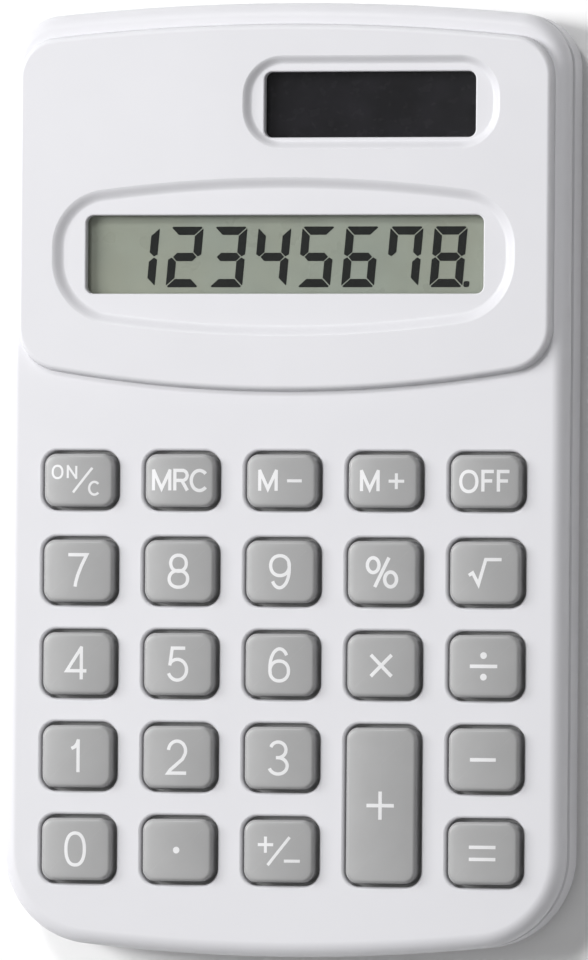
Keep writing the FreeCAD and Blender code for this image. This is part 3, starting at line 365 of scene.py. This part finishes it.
for name, m in (
    ("display_window", CLEAR), ("solar_window", SMOKED), ("lcd_panel", LCD), ("lcd_reflector", REFLECTOR),
    ("lcd_holder", HOLDER), ("zebra_strip", RUBBER_BLACK), ("solar_cell", CELL), ("solar_foam_pad", FOAM),
    ("solar_wires", RED), ("battery_wires", RED), ("circuit_board", BOARD), ("chip_blob", RESIN),
    ("chip_capacitors", CERAMIC), ("board_screws", STEEL), ("case_screws", STEEL),
    ("battery_cover_screw", STEEL), ("key_mat", SILICONE), ("carbon_pills", RUBBER_BLACK),
    ("battery_cell", CAN), ("battery_contact_positive", SPRING), ("battery_contact_negative", SPRING),
    ("battery_cover", CASING),
):
    give_node(name, m)


# ---------------------------------------------------------------- front half
def post(x, y, outer, inner, low, hole_top, high):
    """A round post with a blind hole in its lower end."""
    return [
        at(round_line(x, y, inner, 32), hole_top), at(round_line(x, y, inner, 32), low),
        at(round_line(x, y, outer, 32), low), at(round_line(x, y, outer, 32), high),
    ]


CASE_SCREWS = [(s * x, y) for x, y in ((27.2, 48.2), (27.4, 7.9), (18.45, -50.3)) for s in (-1, 1)]
BOARD_SCREWS = [(s * x, y) for x, y in ((12.0, 9.4), (8.0, -50.4)) for s in (-1, 1)]
KEYS = [
    ("key_on_clear", -2, 0), ("key_memory_recall", -1, 0), ("key_memory_minus", 0, 0),
    ("key_memory_plus", 1, 0), ("key_off", 2, 0),
    ("key_7", -2, 1), ("key_8", -1, 1), ("key_9", 0, 1), ("key_percent", 1, 1), ("key_root", 2, 1),
    ("key_4", -2, 2), ("key_5", -1, 2), ("key_6", 0, 2), ("key_times", 1, 2), ("key_divide", 2, 2),
    ("key_1", -2, 3), ("key_2", -1, 3), ("key_3", 0, 3), ("key_minus", 2, 3),
    ("key_0", -2, 4), ("key_point", -1, 4), ("key_sign", 0, 4), ("key_equals", 2, 4),
    ("key_plus", 1, 3),
]


def key_place(name, column, row):
    """Centre and cap size of a key."""
    if name == "key_plus":
        return key_x(1), TALL_Y, KEY_W, TALL_L
    return key_x(column), key_y(row), KEY_W, FUNCTION_L if row == 0 else KEY_L


def make_front():
    rings = [
        at(casing_line(BODY, 1.6), 8.1), at(casing_line(BODY, 1.6), PARTING),
        at(casing_line(BODY, 0.2), PARTING),
    ]
    roll = 1.8
    for a in arc_steps(14):
        rings.append(at(casing_line(BODY, roll * (1 - math.cos(a))), DECK - roll + roll * math.sin(a)))
    shell = stack("front_moulding", rings)

    # raised panel: drafted wall, small fillet at its foot, rounded top edge
    draft = math.radians(9.0)
    foot_inset = -(PANEL - DECK) * math.tan(draft)
    flare = 0.08
    rings = []
    for a in arc_steps(5, 0.22, PI / 2 - draft):
        rings.append((foot_inset - flare + flare * math.sin(a) - 0.0, DECK + flare - flare * math.cos(a)))
    profile = [(rings[0][0], 8.4)] + rings
    r = 0.6
    ci = r * (1 - math.sin(draft)) / math.cos(draft)
    for a in arc_steps(8, draft, PI / 2):
        profile.append((ci - r * math.cos(a), PANEL - r + r * math.sin(a)))
    panel = stack("panel_block", [at(casing_line(PANEL_LINE, i), z) for i, z in profile])
    combine(shell, panel, "UNION")

    hollow = cutter("panel_hollow", [(lambda i: casing_line(PANEL_LINE, i), [(1.9, 9.2), (1.9, 7.0)])])
    combine(shell, hollow, "DIFFERENCE")

    posts = bmesh.new()
    for k, (x, y) in enumerate(CASE_SCREWS):
        add_stack(posts, post(x, y, 2.3, 1.0, 4.95, 7.6, 9.5 if k < 2 else 8.5))
    for x, y in BOARD_SCREWS:
        add_stack(posts, post(x, y, 1.9, 0.8, 4.4, 7.3, 8.5))
    combine(shell, new_object("posts", posts), "UNION")

    def bowl(depth, blend, n=9):
        out = []
        for k in range(n + 1):
            t = 0.07 + 0.93 * k / n
            drop = depth * (t * t * (3 - 2 * t))
            out.append((-0.25 + (blend + 0.25) * t, PANEL - drop))
        return [(out[0][0], PANEL + 0.5)] + out

    dishes = cutter("dishes", [
        (lambda i: casing_line(DISH_LINE, i), bowl(DISH, 1.2)),
        (lambda i: box_line(10.55, 44.15, 30.7, 10.6, 4.6, i, (4, 14)), bowl(DISH, 0.85)),
    ])
    combine(shell, dishes, "DIFFERENCE")

    holes = [
        (lambda i: box_line(0, 26.35, 48.1, 9.2, 0.9, i, (20, 8)), rim(PANEL - DISH, 0.2, 7.0)),
        (lambda i: box_line(10.25, 43.9, 25.5, 7.7, 0.9, i, (12, 8)), rim(PANEL - DISH, 0.2, 7.0)),
    ]
    for name, column, row in KEYS:
        x, y, w, l = key_place(name, column, row)
        holes.append((
            lambda i, x=x, y=y, w=w, l=l: box_line(x, y, w + 2 * GAP, l + 2 * GAP, KEY_R + GAP, i, (4, 8)),
            rim(DECK, 0.38, 7.2, steps=6),
        ))
    combine(shell, cutter("openings", holes), "DIFFERENCE")
    tidy(shell)
    give(shell, CASING)
    return keep(shell, "front_moulding", "casing", "casing_plastic", "front_shell")


# ---------------------------------------------------------------- rear half
def make_rear():
    rings = []
    for a in arc_steps(12):
        rings.append(at(casing_line(BODY, 3 - 3 * math.sin(a)), 3 - 3 * math.cos(a)))
    rings += [
        at(casing_line(BODY, 0.0), REAR - 0.2), at(casing_line(BODY, 0.2), REAR),
        at(casing_line(BODY, 1.72), REAR), at(casing_line(BODY, 1.72), 7.3),
        at(casing_line(BODY, 1.82), 7.4), at(casing_line(BODY, 2.4), 7.4),
        at(casing_line(BODY, 2.4), 1.5),
    ]
    shell = stack("rear_moulding", rings)
    bx, by, cx, sx = -14.3, 45.3, -11.5, -2.2
    for low, high, lines in (
        (0.7, 2.7, [lambda i: box_line(cx, by, 28.6, 17.6, 3.0, i)]),
        (0.75, 4.7, [lambda i: round_line(bx, by, 7.3 - i, 64)]),
        (0.8, 4.9, [lambda i, x=x, y=y: round_line(x, y, 3.0 - i, 40) for x, y in CASE_SCREWS]
         + [lambda i: round_line(sx, by, 2.3 - i, 40)]),
        (0.85, 4.5, [lambda i, y=y: box_line(11.75, y, 17.6, 1.4, 0.3, i) for y in (46.1, 41.7)]),
    ):
        add = cutter("add", [(f, [(0.0, low), (0.0, high - 0.1), (0.1, high)]) for f in lines])
        combine(shell, add, "UNION")
    easing = 0.15
    cut = cutter("recess", [(
        lambda i: box_line(cx, by, 25.6, 16.0, 2.2, i, (10, 8)),
        [(-easing, -0.5), (-easing, 0.02), (-easing * 0.3, easing * 0.3), (0.0, easing), (0.0, 1.3)],
    )])
    combine(shell, cut, "DIFFERENCE")
    cut = cutter("bores", [
        (lambda i, x=x, y=y: round_line(x, y, 2.0 - i, 40), [(-0.12, -0.5), (-0.12, 0.02), (0.0, 0.14), (0.0, 1.7)])
        for x, y in CASE_SCREWS
    ] + [(lambda i: round_line(bx, by, 6.1 - i, 64), [(0.0, 0.9), (0.0, 5.4)])]
      + [(lambda i: round_line(sx, by, 1.0 - i, 24), [(0.0, 0.9), (0.0, 4.4)])])
    combine(shell, cut, "DIFFERENCE")
    cut = cutter("ways", [
        (lambda i, x=x, y=y: round_line(x, y, 1.2 - i, 32), [(0.0, 1.0), (0.0, 5.6)]) for x, y in CASE_SCREWS
    ] + [(lambda i: box_line(bx + 6.9, by, 3.6, 3.6, 0.3, i), [(0.0, 2.7), (0.0, 5.6)])])
    combine(shell, cut, "DIFFERENCE")
    tidy(shell)
    give(shell, CASING)
    return keep(shell, "rear_moulding", "casing", "casing_plastic", "rear_shell")


# ---------------------------------------------------------------- keys
def crown(x):
    """Height of a key's top at a distance from its own centre line."""
    return KEY_TOP - CROWN_R + math.sqrt(CROWN_R**2 - x * x)


def make_key(name, column, row):
    cx, cy, w, l = key_place(name, column, row)
    line = lambda i: box_line(cx, cy, w, l, KEY_R, i, (8, 9))
    flange = lambda i: box_line(cx, cy, w + 2 * FLANGE, l + 2 * FLANGE, KEY_R + 0.3, i, (8, 9))
    inner = lambda i: box_line(cx, cy, w - 2.3, l - 2.3, 0.6, i, (8, 9))
    low, ceiling, top = 7.25, 9.15, 7.97
    rings = [at(inner(0), ceiling), at(inner(0), low), at(flange(0.08), low), at(flange(0), low + 0.08)]
    rings += [at(flange(0), top - 0.06), at(flange(0.06), top), at(line(-0.08), top), at(line(0), top + 0.08)]
    r = KEY_EDGE
    for a in arc_steps(7):
        ring = line(r * (1 - math.cos(a)))
        rings.append([(x, y, crown(x - cx) - r * (1 - math.sin(a))) for x, y in ring])
    reach = min(w, l) / 2 - 0.04
    steps = 7
    for k in range(1, steps + 1):
        ring = line(r + (reach - r) * k / steps)
        rings.append([(x, y, crown(x - cx)) for x, y in ring])
    bm = bmesh.new()
    add_stack(bm, rings)
    for dy in ((-PITCH_Y / 2, PITCH_Y / 2) if name == "key_plus" else (0.0,)):
        f = lambda i: round_line(cx, cy + dy, 1.5 - i, 32)
        add_stack(bm, [at(f(0.1), low), at(f(0), low + 0.1), at(f(0), ceiling + 0.2)])
    o = new_object(name + "_cap", bm)
    tidy(o)
    give(o, KEY)
    return keep(o, name + "_cap", name + "_body", "key_plastic", name)


# ---------------------------------------------------------------- printed legends
def bow(cx, cy, rx, ry, a, b, n=22):
    """Points along an ellipse from angle a to b, in degrees."""
    return [
        (cx + rx * math.cos(math.radians(a + (b - a) * i / n)), cy + ry * math.sin(math.radians(a + (b - a) * i / n)))
        for i in range(n + 1)
    ]


def loop(cx, cy, rx, ry, n=36):
    return ("loop", bow(cx, cy, rx, ry, 0, 360, n)[:-1])


def superloop(cx, cy, rx, ry, p=2.5, n=44):
    out = []
    for i in range(n):
        c, s = math.cos(2 * PI * i / n), math.sin(2 * PI * i / n)
        out.append((cx + rx * math.copysign(abs(c) ** (2 / p), c), cy + ry * math.copysign(abs(s) ** (2 / p), s)))
    return ("loop", out)


def path(*points):
    return ("line", list(points))


# Each glyph: strokes in a box one unit wide and one high, and its width over its height.
SIX = [("line", bow(0.52, 0.62, 0.42, 0.38, 28, 90, 8) + bow(0.52, 0.42, 0.52, 0.58, 92, 200, 18)), superloop(0.5, 0.31, 0.5, 0.31, 2.15)]
GLYPHS = {
    "0": ([superloop(0.5, 0.5, 0.5, 0.5, 2.3)], 0.60),
    "1": ([path((0.22, 0.74), (0.44, 0.80), (0.58, 0.90), (0.64, 1.0), (0.64, 0.0))], 0.52),
    "2": ([("line", bow(0.5, 0.70, 0.46, 0.30, 176, -22, 20) + [(0.80, 0.44), (0.42, 0.24), (0.14, 0.10), (0.02, 0.0), (1.0, 0.0)])], 0.60),
    "3": ([("line", bow(0.48, 0.755, 0.42, 0.245, 160, -90, 20) + [(0.36, 0.51)]), ("line", [(0.40, 0.51)] + bow(0.48, 0.255, 0.49, 0.255, 90, -162, 24))], 0.60),
    "4": ([path((0.74, 0.0), (0.74, 1.0), (0.0, 0.27), (1.0, 0.27))], 0.64),
    "5": ([("line", [(0.90, 1.0), (0.20, 1.0), (0.08, 0.48)] + bow(0.48, 0.325, 0.5, 0.325, 142, -160, 26))], 0.60),
    "6": (SIX, 0.60),
    "7": ([path((0.0, 1.0), (1.0, 1.0), (0.72, 0.66), (0.52, 0.36), (0.42, 0.14), (0.38, 0.0))], 0.60),
    "8": ([superloop(0.5, 0.75, 0.42, 0.25, 2.15), superloop(0.5, 0.26, 0.5, 0.26, 2.15)], 0.60),
    "9": ([(k, [(1 - x, 1 - y) for x, y in pts]) for k, pts in SIX], 0.60),
    "M": ([path((0.0, 0.0), (0.0, 1.0), (0.5, 0.10), (1.0, 1.0), (1.0, 0.0))], 0.86),
    "R": ([("line", [(0.0, 0.0), (0.0, 1.0), (0.6, 1.0)] + bow(0.6, 0.75, 0.36, 0.25, 80, -80, 12) + [(0.6, 0.5), (0.0, 0.5)]), path((0.55, 0.5), (0.98, 0.0))], 0.66),
    "C": ([("line", bow(0.52, 0.5, 0.52, 0.5, 42, 318, 34))], 0.80),
    "O": ([superloop(0.5, 0.5, 0.5, 0.5, 2.2)], 0.84),
    "N": ([path((0.0, 0.0), (0.0, 1.0), (1.0, 0.0), (1.0, 1.0))], 0.72),
    "F": ([path((0.0, 0.0), (0.0, 1.0), (0.95, 1.0)), path((0.0, 0.53), (0.82, 0.53))], 0.58),
    "+": ([path((0.0, 0.5), (1.0, 0.5)), path((0.5, 0.0), (0.5, 1.0))], 1.0),
    "-": ([path((0.0, 0.5), (1.0, 0.5))], 1.0),
    "/": ([path((0.0, 0.0), (1.0, 1.0))], 0.8),
    "=": ([path((0.0, 0.72), (1.0, 0.72)), path((0.0, 0.28), (1.0, 0.28))], 1.0),
    "x": ([path((0.0, 0.0), (1.0, 1.0)), path((0.0, 1.0), (1.0, 0.0))], 1.0),
    ":": ([path((0.0, 0.5), (1.0, 0.5)), ("dot", [(0.5, 0.88)]), ("dot", [(0.5, 0.12)])], 1.0),
    ".": ([("dot", [(0.5, 0.5)])], 1.0),
    "%": ([loop(0.2, 0.74, 0.2, 0.25, 28), loop(0.8, 0.26, 0.2, 0.25, 28), path((0.26, 0.0), (0.74, 1.0))], 1.02),
    "root": ([path((0.0, 0.36), (0.12, 0.46), (0.30, 0.0), (0.52, 1.0), (1.0, 1.0))], 1.35),
}

# name: strokes placed as (glyph, centre x, centre y, height, stroke width), in millimetres on the key top
DIGIT = (3.75, 0.40)
LEGENDS = {
    "key_on_clear": [("O", -2.55, 0.95, 1.45, 0.26), ("N", -0.75, 0.95, 1.45, 0.26), ("/", 0.55, 0.0, 2.9, 0.3), ("C", 1.95, -0.95, 1.5, 0.28)],
    "key_memory_recall": [("M", -2.15, 0, 2.35, 0.4), ("R", 0.25, 0, 2.35, 0.4), ("C", 2.4, 0, 2.35, 0.4)],
    "key_memory_minus": [("M", -1.55, 0, 2.35, 0.4), ("-", 1.65, 0, 1.75, 0.36)],
    "key_memory_plus": [("M", -1.55, 0, 2.35, 0.4), ("+", 1.65, 0, 1.85, 0.36)],
    "key_off": [("O", -1.95, 0, 2.35, 0.4), ("F", 0.45, 0, 2.35, 0.4), ("F", 2.3, 0, 2.35, 0.4)],
    "key_percent": [("%", 0, 0, 3.45, 0.42)],
    "key_root": [("root", 0.1, 0.1, 2.9, 0.4)],
    "key_times": [("x", 0, 0, 2.5, 0.42)],
    "key_divide": [(":", 0, 0, 3.3, 0.42)],
    "key_minus": [("-", 0, 0, 3.1, 0.42)],
    "key_equals": [("=", 0, 0, 3.2, 0.4)],
    "key_plus": [("+", 0, 0, 3.3, 0.42)],
    "key_point": [(".", 0, 0, 0.8, 0.42)],
    "key_sign": [("+", -1.5, 0.75, 1.9, 0.36), ("/", 0.1, 0.0, 3.3, 0.36), ("-", 1.7, -1.15, 1.9, 0.36)],
}
for figure in "0123456789":
    LEGENDS["key_" + figure] = [(figure, 0, 0) + DIGIT]


def resample(points, step, closed):
    out = []
    pts = points + [points[0]] if closed else points
    for (x0, y0), (x1, y1) in zip(pts, pts[1:]):
        n = max(1, math.ceil(math.hypot(x1 - x0, y1 - y0) / step))
        out += [(x0 + (x1 - x0) * i / n, y0 + (y1 - y0) * i / n) for i in range(n)]
    if not closed:
        out.append(points[-1])
    return out


def turn(a, b, c):
    """Turning angle of a path at b, positive to the left."""
    u = Vector((b[0] - a[0], b[1] - a[1])).normalized()
    v = Vector((c[0] - b[0], c[1] - b[1])).normalized()
    return math.atan2(u.x * v.y - u.y * v.x, u.dot(v))


def ribbon(points, half, closed):
    """Convex quads along a stroke, with a mitred or rounded join at each sharp corner."""
    n = len(points)
    pieces, joins, run = [], [], [points[0]]
    if closed:
        points = points + [points[0]]
        n += 1
    for i in range(1, n - 1):
        run.append(points[i])
        angle = turn(points[i - 1], points[i], points[i + 1])
        if abs(angle) > 0.45:
            pieces.append(run)
            joins.append((points[i - 1], points[i], points[i + 1], angle))
            run = [points[i]]
    run.append(points[-1])
    pieces.append(run)

    def normal(a, b):
        v = Vector((b[0] - a[0], b[1] - a[1])).normalized()
        return Vector((-v.y, v.x))

    quads = []
    whole = closed and len(pieces) == 1
    for run in pieces:
        left, right = [], []
        for i, p in enumerate(run):
            first = normal(run[i - 1], p) if i > 0 else (normal(run[-2], p) if whole else None)
            after = normal(p, run[i + 1]) if i < len(run) - 1 else (normal(p, run[1]) if whole else None)
            a, b = first or after, after or first
            m = (a + b).normalized()
            reach = half / max(m.dot(a), 0.5)
            left.append((p[0] + m.x * reach, p[1] + m.y * reach))
            right.append((p[0] - m.x * reach, p[1] - m.y * reach))
        for i in range(len(run) - 1):
            quads.append([left[i], right[i], right[i + 1], left[i + 1]])
    for a, p, c, angle in joins:
        side = -1 if angle > 0 else 1
        u, v = normal(a, p) * side, normal(p, c) * side
        m = (u + v)
        corner = [p, (p[0] + u.x * half, p[1] + u.y * half)]
        if m.length > 0.7:
            m.normalize()
            reach = half / max(m.dot(u), 0.35)
            corner.append((p[0] + m.x * reach, p[1] + m.y * reach))
        else:
            along = Vector((p[0] - a[0], p[1] - a[1])).normalized() * half * 0.45
            back = Vector((p[0] - c[0], p[1] - c[1])).normalized() * half * 0.45
            corner.append((p[0] + u.x * half + along.x, p[1] + u.y * half + along.y))
            corner.append((p[0] + v.x * half + back.x, p[1] + v.y * half + back.y))
        corner.append((p[0] + v.x * half, p[1] + v.y * half))
        quads.append(corner)
    return quads


def glyph_quads(placed):
    quads = []
    for glyph, cx, cy, height, width in placed:
        strokes, ratio = GLYPHS[glyph]
        w = height * ratio
        for kind, pts in strokes:
            real = [(cx + (x - 0.5) * w, cy + (y - 0.5) * height) for x, y in pts]
            if kind == "dot":
                r = width * 0.95
                quads.append([(real[0][0] + r * math.cos(2 * PI * k / 20), real[0][1] + r * math.sin(2 * PI * k / 20)) for k in range(20)])
            else:
                quads += ribbon(resample(real, 0.3, kind == "loop"), width / 2, kind == "loop")
    return quads


def signed_area(pts):
    return sum(pts[i - 1][0] * pts[i][1] - pts[i][0] * pts[i - 1][1] for i in range(len(pts))) / 2


def print_on(bm, quads, cx, cy, height_at, proud=0.012, sunk=0.02):
    """One clean skin over overlapping strokes, laid on a surface, with side walls."""
    coords, faces = [], []
    for q in quads:
        area_of = signed_area(q)
        if abs(area_of) < 1e-5:
            continue
        if area_of < 0:
            q = q[::-1]
        faces.append(list(range(len(coords), len(coords) + len(q))))
        coords += [Vector(p) for p in q]
    verts, edges, tris, _, _, origin = geometry.delaunay_2d_cdt(coords, [], faces, 0, 1e-4)
    inside = []
    for t in tris:
        mx = sum(verts[i][0] for i in t) / 3
        my = sum(verts[i][1] for i in t) / 3
        for q in faces:
            hit = True
            for i, j in zip(q, q[1:] + q[:1]):
                a, b = coords[i], coords[j]
                if (b[0] - a[0]) * (my - a[1]) - (b[1] - a[1]) * (mx - a[0]) < -1e-6:
                    hit = False
                    break
            if hit:
                inside.append(t)
                break
    top, bottom = {}, {}

    def vertex(store, i, shift):
        if i not in store:
            x, y = verts[i]
            store[i] = bm.verts.new(((cx + x) * MM, (cy + y) * MM, (height_at(x) + shift) * MM))
        return store[i]

    sides = {}
    for t in inside:
        bm.faces.new([vertex(top, i, proud) for i in t])
        bm.faces.new([vertex(bottom, i, -sunk) for i in reversed(t)])
        for a, b in zip(t, list(t[1:]) + [t[0]]):
            if (b, a) in sides:
                del sides[(b, a)]
            else:
                sides[(a, b)] = True
    for a, b in sides:
        bm.faces.new((top[b], top[a], bottom[a], bottom[b]))


def make_legend(name, column, row):
    cx, cy, w, l = key_place(name, column, row)
    bm = bmesh.new()
    print_on(bm, glyph_quads(LEGENDS[name]), cx, cy, crown)
    o = new_object(name + "_legend", bm)
    tidy(o, 40, weighted=False)
    give(o, LEGEND)
    return keep(o, name + "_legend", name + "_body", "legend_ink")


# ---------------------------------------------------------------- display figures
SEGMENTS = {
    "0": "abcdef", "1": "bc", "2": "abged", "3": "abgcd", "4": "fgbc", "5": "afgcd",
    "6": "afgedc", "7": "fabc", "8": "abcdefg", "9": "abcdfg",
}


def segment_shapes(w=3.0, h=6.15, t=0.98, gap=0.085):
    """The seven bars of a display figure about its own centre. w and h run between the bars' centre lines."""
    x, y, k = w / 2, h / 2, t / 2
    c, g = 0.22, gap * 0.7
    # the bar across the top: cut corners outside, slanted ends meeting the uprights
    top = [(-x - k + c + g, y + k), (x + k - c - g, y + k), (x + k - c * 0.4 - g, y + k - c * 0.6), (x - k - g, y - k), (-x + k + g, y - k), (-x - k + c * 0.4 + g, y + k - c * 0.6)]
    # the upper right upright
    right = [(x + k, y + k - c - g * 2), (x + k - c * 0.25, y + k - c * 0.5 - g * 2), (x - k, y - k - g * 2), (x - k, k + g), (x + k * 0.15, g), (x + k, k * 0.5 + g)]
    middle = [(-x - k * 0.1 + g * 2, 0), (-x + k + g, k), (x - k - g, k), (x + k * 0.1 - g * 2, 0), (x - k - g, -k), (-x + k + g, -k)]
    flip = lambda pts, sx, sy: [(px * sx, py * sy) for px, py in pts]
    return {
        "a": top, "d": flip(top, 1, -1), "b": right, "f": flip(right, -1, 1),
        "c": flip(right, 1, -1), "e": flip(right, -1, -1), "g": middle,
    }


def make_figures():
    slant = math.tan(math.radians(5.0))
    shapes = segment_shapes()
    bm = bmesh.new()
    low, high = 8.651, 8.672
    y0 = 26.1

    def bar(points, cx):
        pts = [(cx + px + (py + 3.4) * slant - 0.3, y0 + py) for px, py in points]
        if sum(pts[i - 1][0] * pts[i][1] - pts[i][0] * pts[i - 1][1] for i in range(len(pts))) < 0:
            pts.reverse()
        add_stack(bm, [at(pts, low), at(pts, high)])

    for k, figure in enumerate("12345678"):
        cx = -17.75 + 5.32 * k
        for s in SEGMENTS[figure]:
            bar(shapes[s], cx)
    dot = [(0.36 * math.copysign(abs(math.cos(a)) ** 0.6, math.cos(a)), -3.2 + 0.36 * math.copysign(abs(math.sin(a)) ** 0.6, math.sin(a))) for a in [2 * PI * i / 24 for i in range(24)]]
    bar(dot, 21.95)
    o = new_object("display_figures", bm)
    tidy(o, 40, weighted=False)
    give(o, SEGMENT)
    return keep(o, "display_figures", "casing", "segment_ink")


front = make_front()
rear = make_rear()
for name, column, row in KEYS:
    make_key(name, column, row)
    make_legend(name, column, row)
make_figures()

# ---------------------------------------------------------------- stage, light and camera
bm = bmesh.new()
bmesh.ops.create_grid(bm, x_segments=4, y_segments=4, size=1.5)
floor = new_object("floor", bm)
give(floor, surface("floor_mat", (0.93, 0.93, 0.93), 0.8, vary=0.004, spread=3))


def area(name, where, aim, size, power, colour=(1, 1, 1)):
    lamp = bpy.data.lights.new(name, "AREA")
    lamp.shape = "RECTANGLE"
    lamp.size, lamp.size_y = size
    lamp.energy = power
    lamp.color = colour
    o = bpy.data.objects.new(name, lamp)
    bpy.context.collection.objects.link(o)
    o.location = where
    o.rotation_euler = (Vector(aim) - Vector(where)).to_track_quat("-Z", "Y").to_euler()
    return o


area("left_light", (-0.66, 0.16, 0.56), (0, -0.01, 0.01), (0.26, 0.60), 7.4)
area("head_light", (-0.30, 0.95, 1.40), (0, 0, 0.01), (0.25, 0.25), 7.5)
area("ceiling_light", (0.2, -0.1, 1.6), (0, 0, 0), (1.2, 1.2), 4.0)
world = bpy.data.worlds.new("room")
world.use_nodes = True
world.node_tree.nodes["Background"].inputs[0].default_value = (1, 1, 1, 1)
world.node_tree.nodes["Background"].inputs[1].default_value = 0.16
bpy.context.scene.world = world
bpy.context.scene.view_settings.view_transform = "Standard"

TILT, NOD, ROLL = math.radians(14.5), math.radians(1.0), math.radians(0.45)
SCALE = 8.51
distance = 1.5
target = Vector((0.0001, 0.0, 0.005))
direction = Vector((math.sin(TILT), -math.sin(NOD) * math.cos(TILT), math.cos(TILT) * math.cos(NOD)))
camera = bpy.data.cameras.new("camera")
view = bpy.data.objects.new("camera", camera)
bpy.context.collection.objects.link(view)
view.location = target + direction * distance
back = direction.normalized()
side = Vector((0, 1, 0)).cross(back).normalized()
up = back.cross(side)
side, up = side * math.cos(ROLL) + up * math.sin(ROLL), up * math.cos(ROLL) - side * math.sin(ROLL)
from mathutils import Matrix
view.rotation_euler = Matrix((side, up, back)).transposed().to_euler()
camera.sensor_fit = "VERTICAL"
camera.sensor_height = 36.0
camera.lens = 36.0 * distance / (960 / SCALE * MM)
camera.clip_end = 10
bpy.context.scene.camera = view
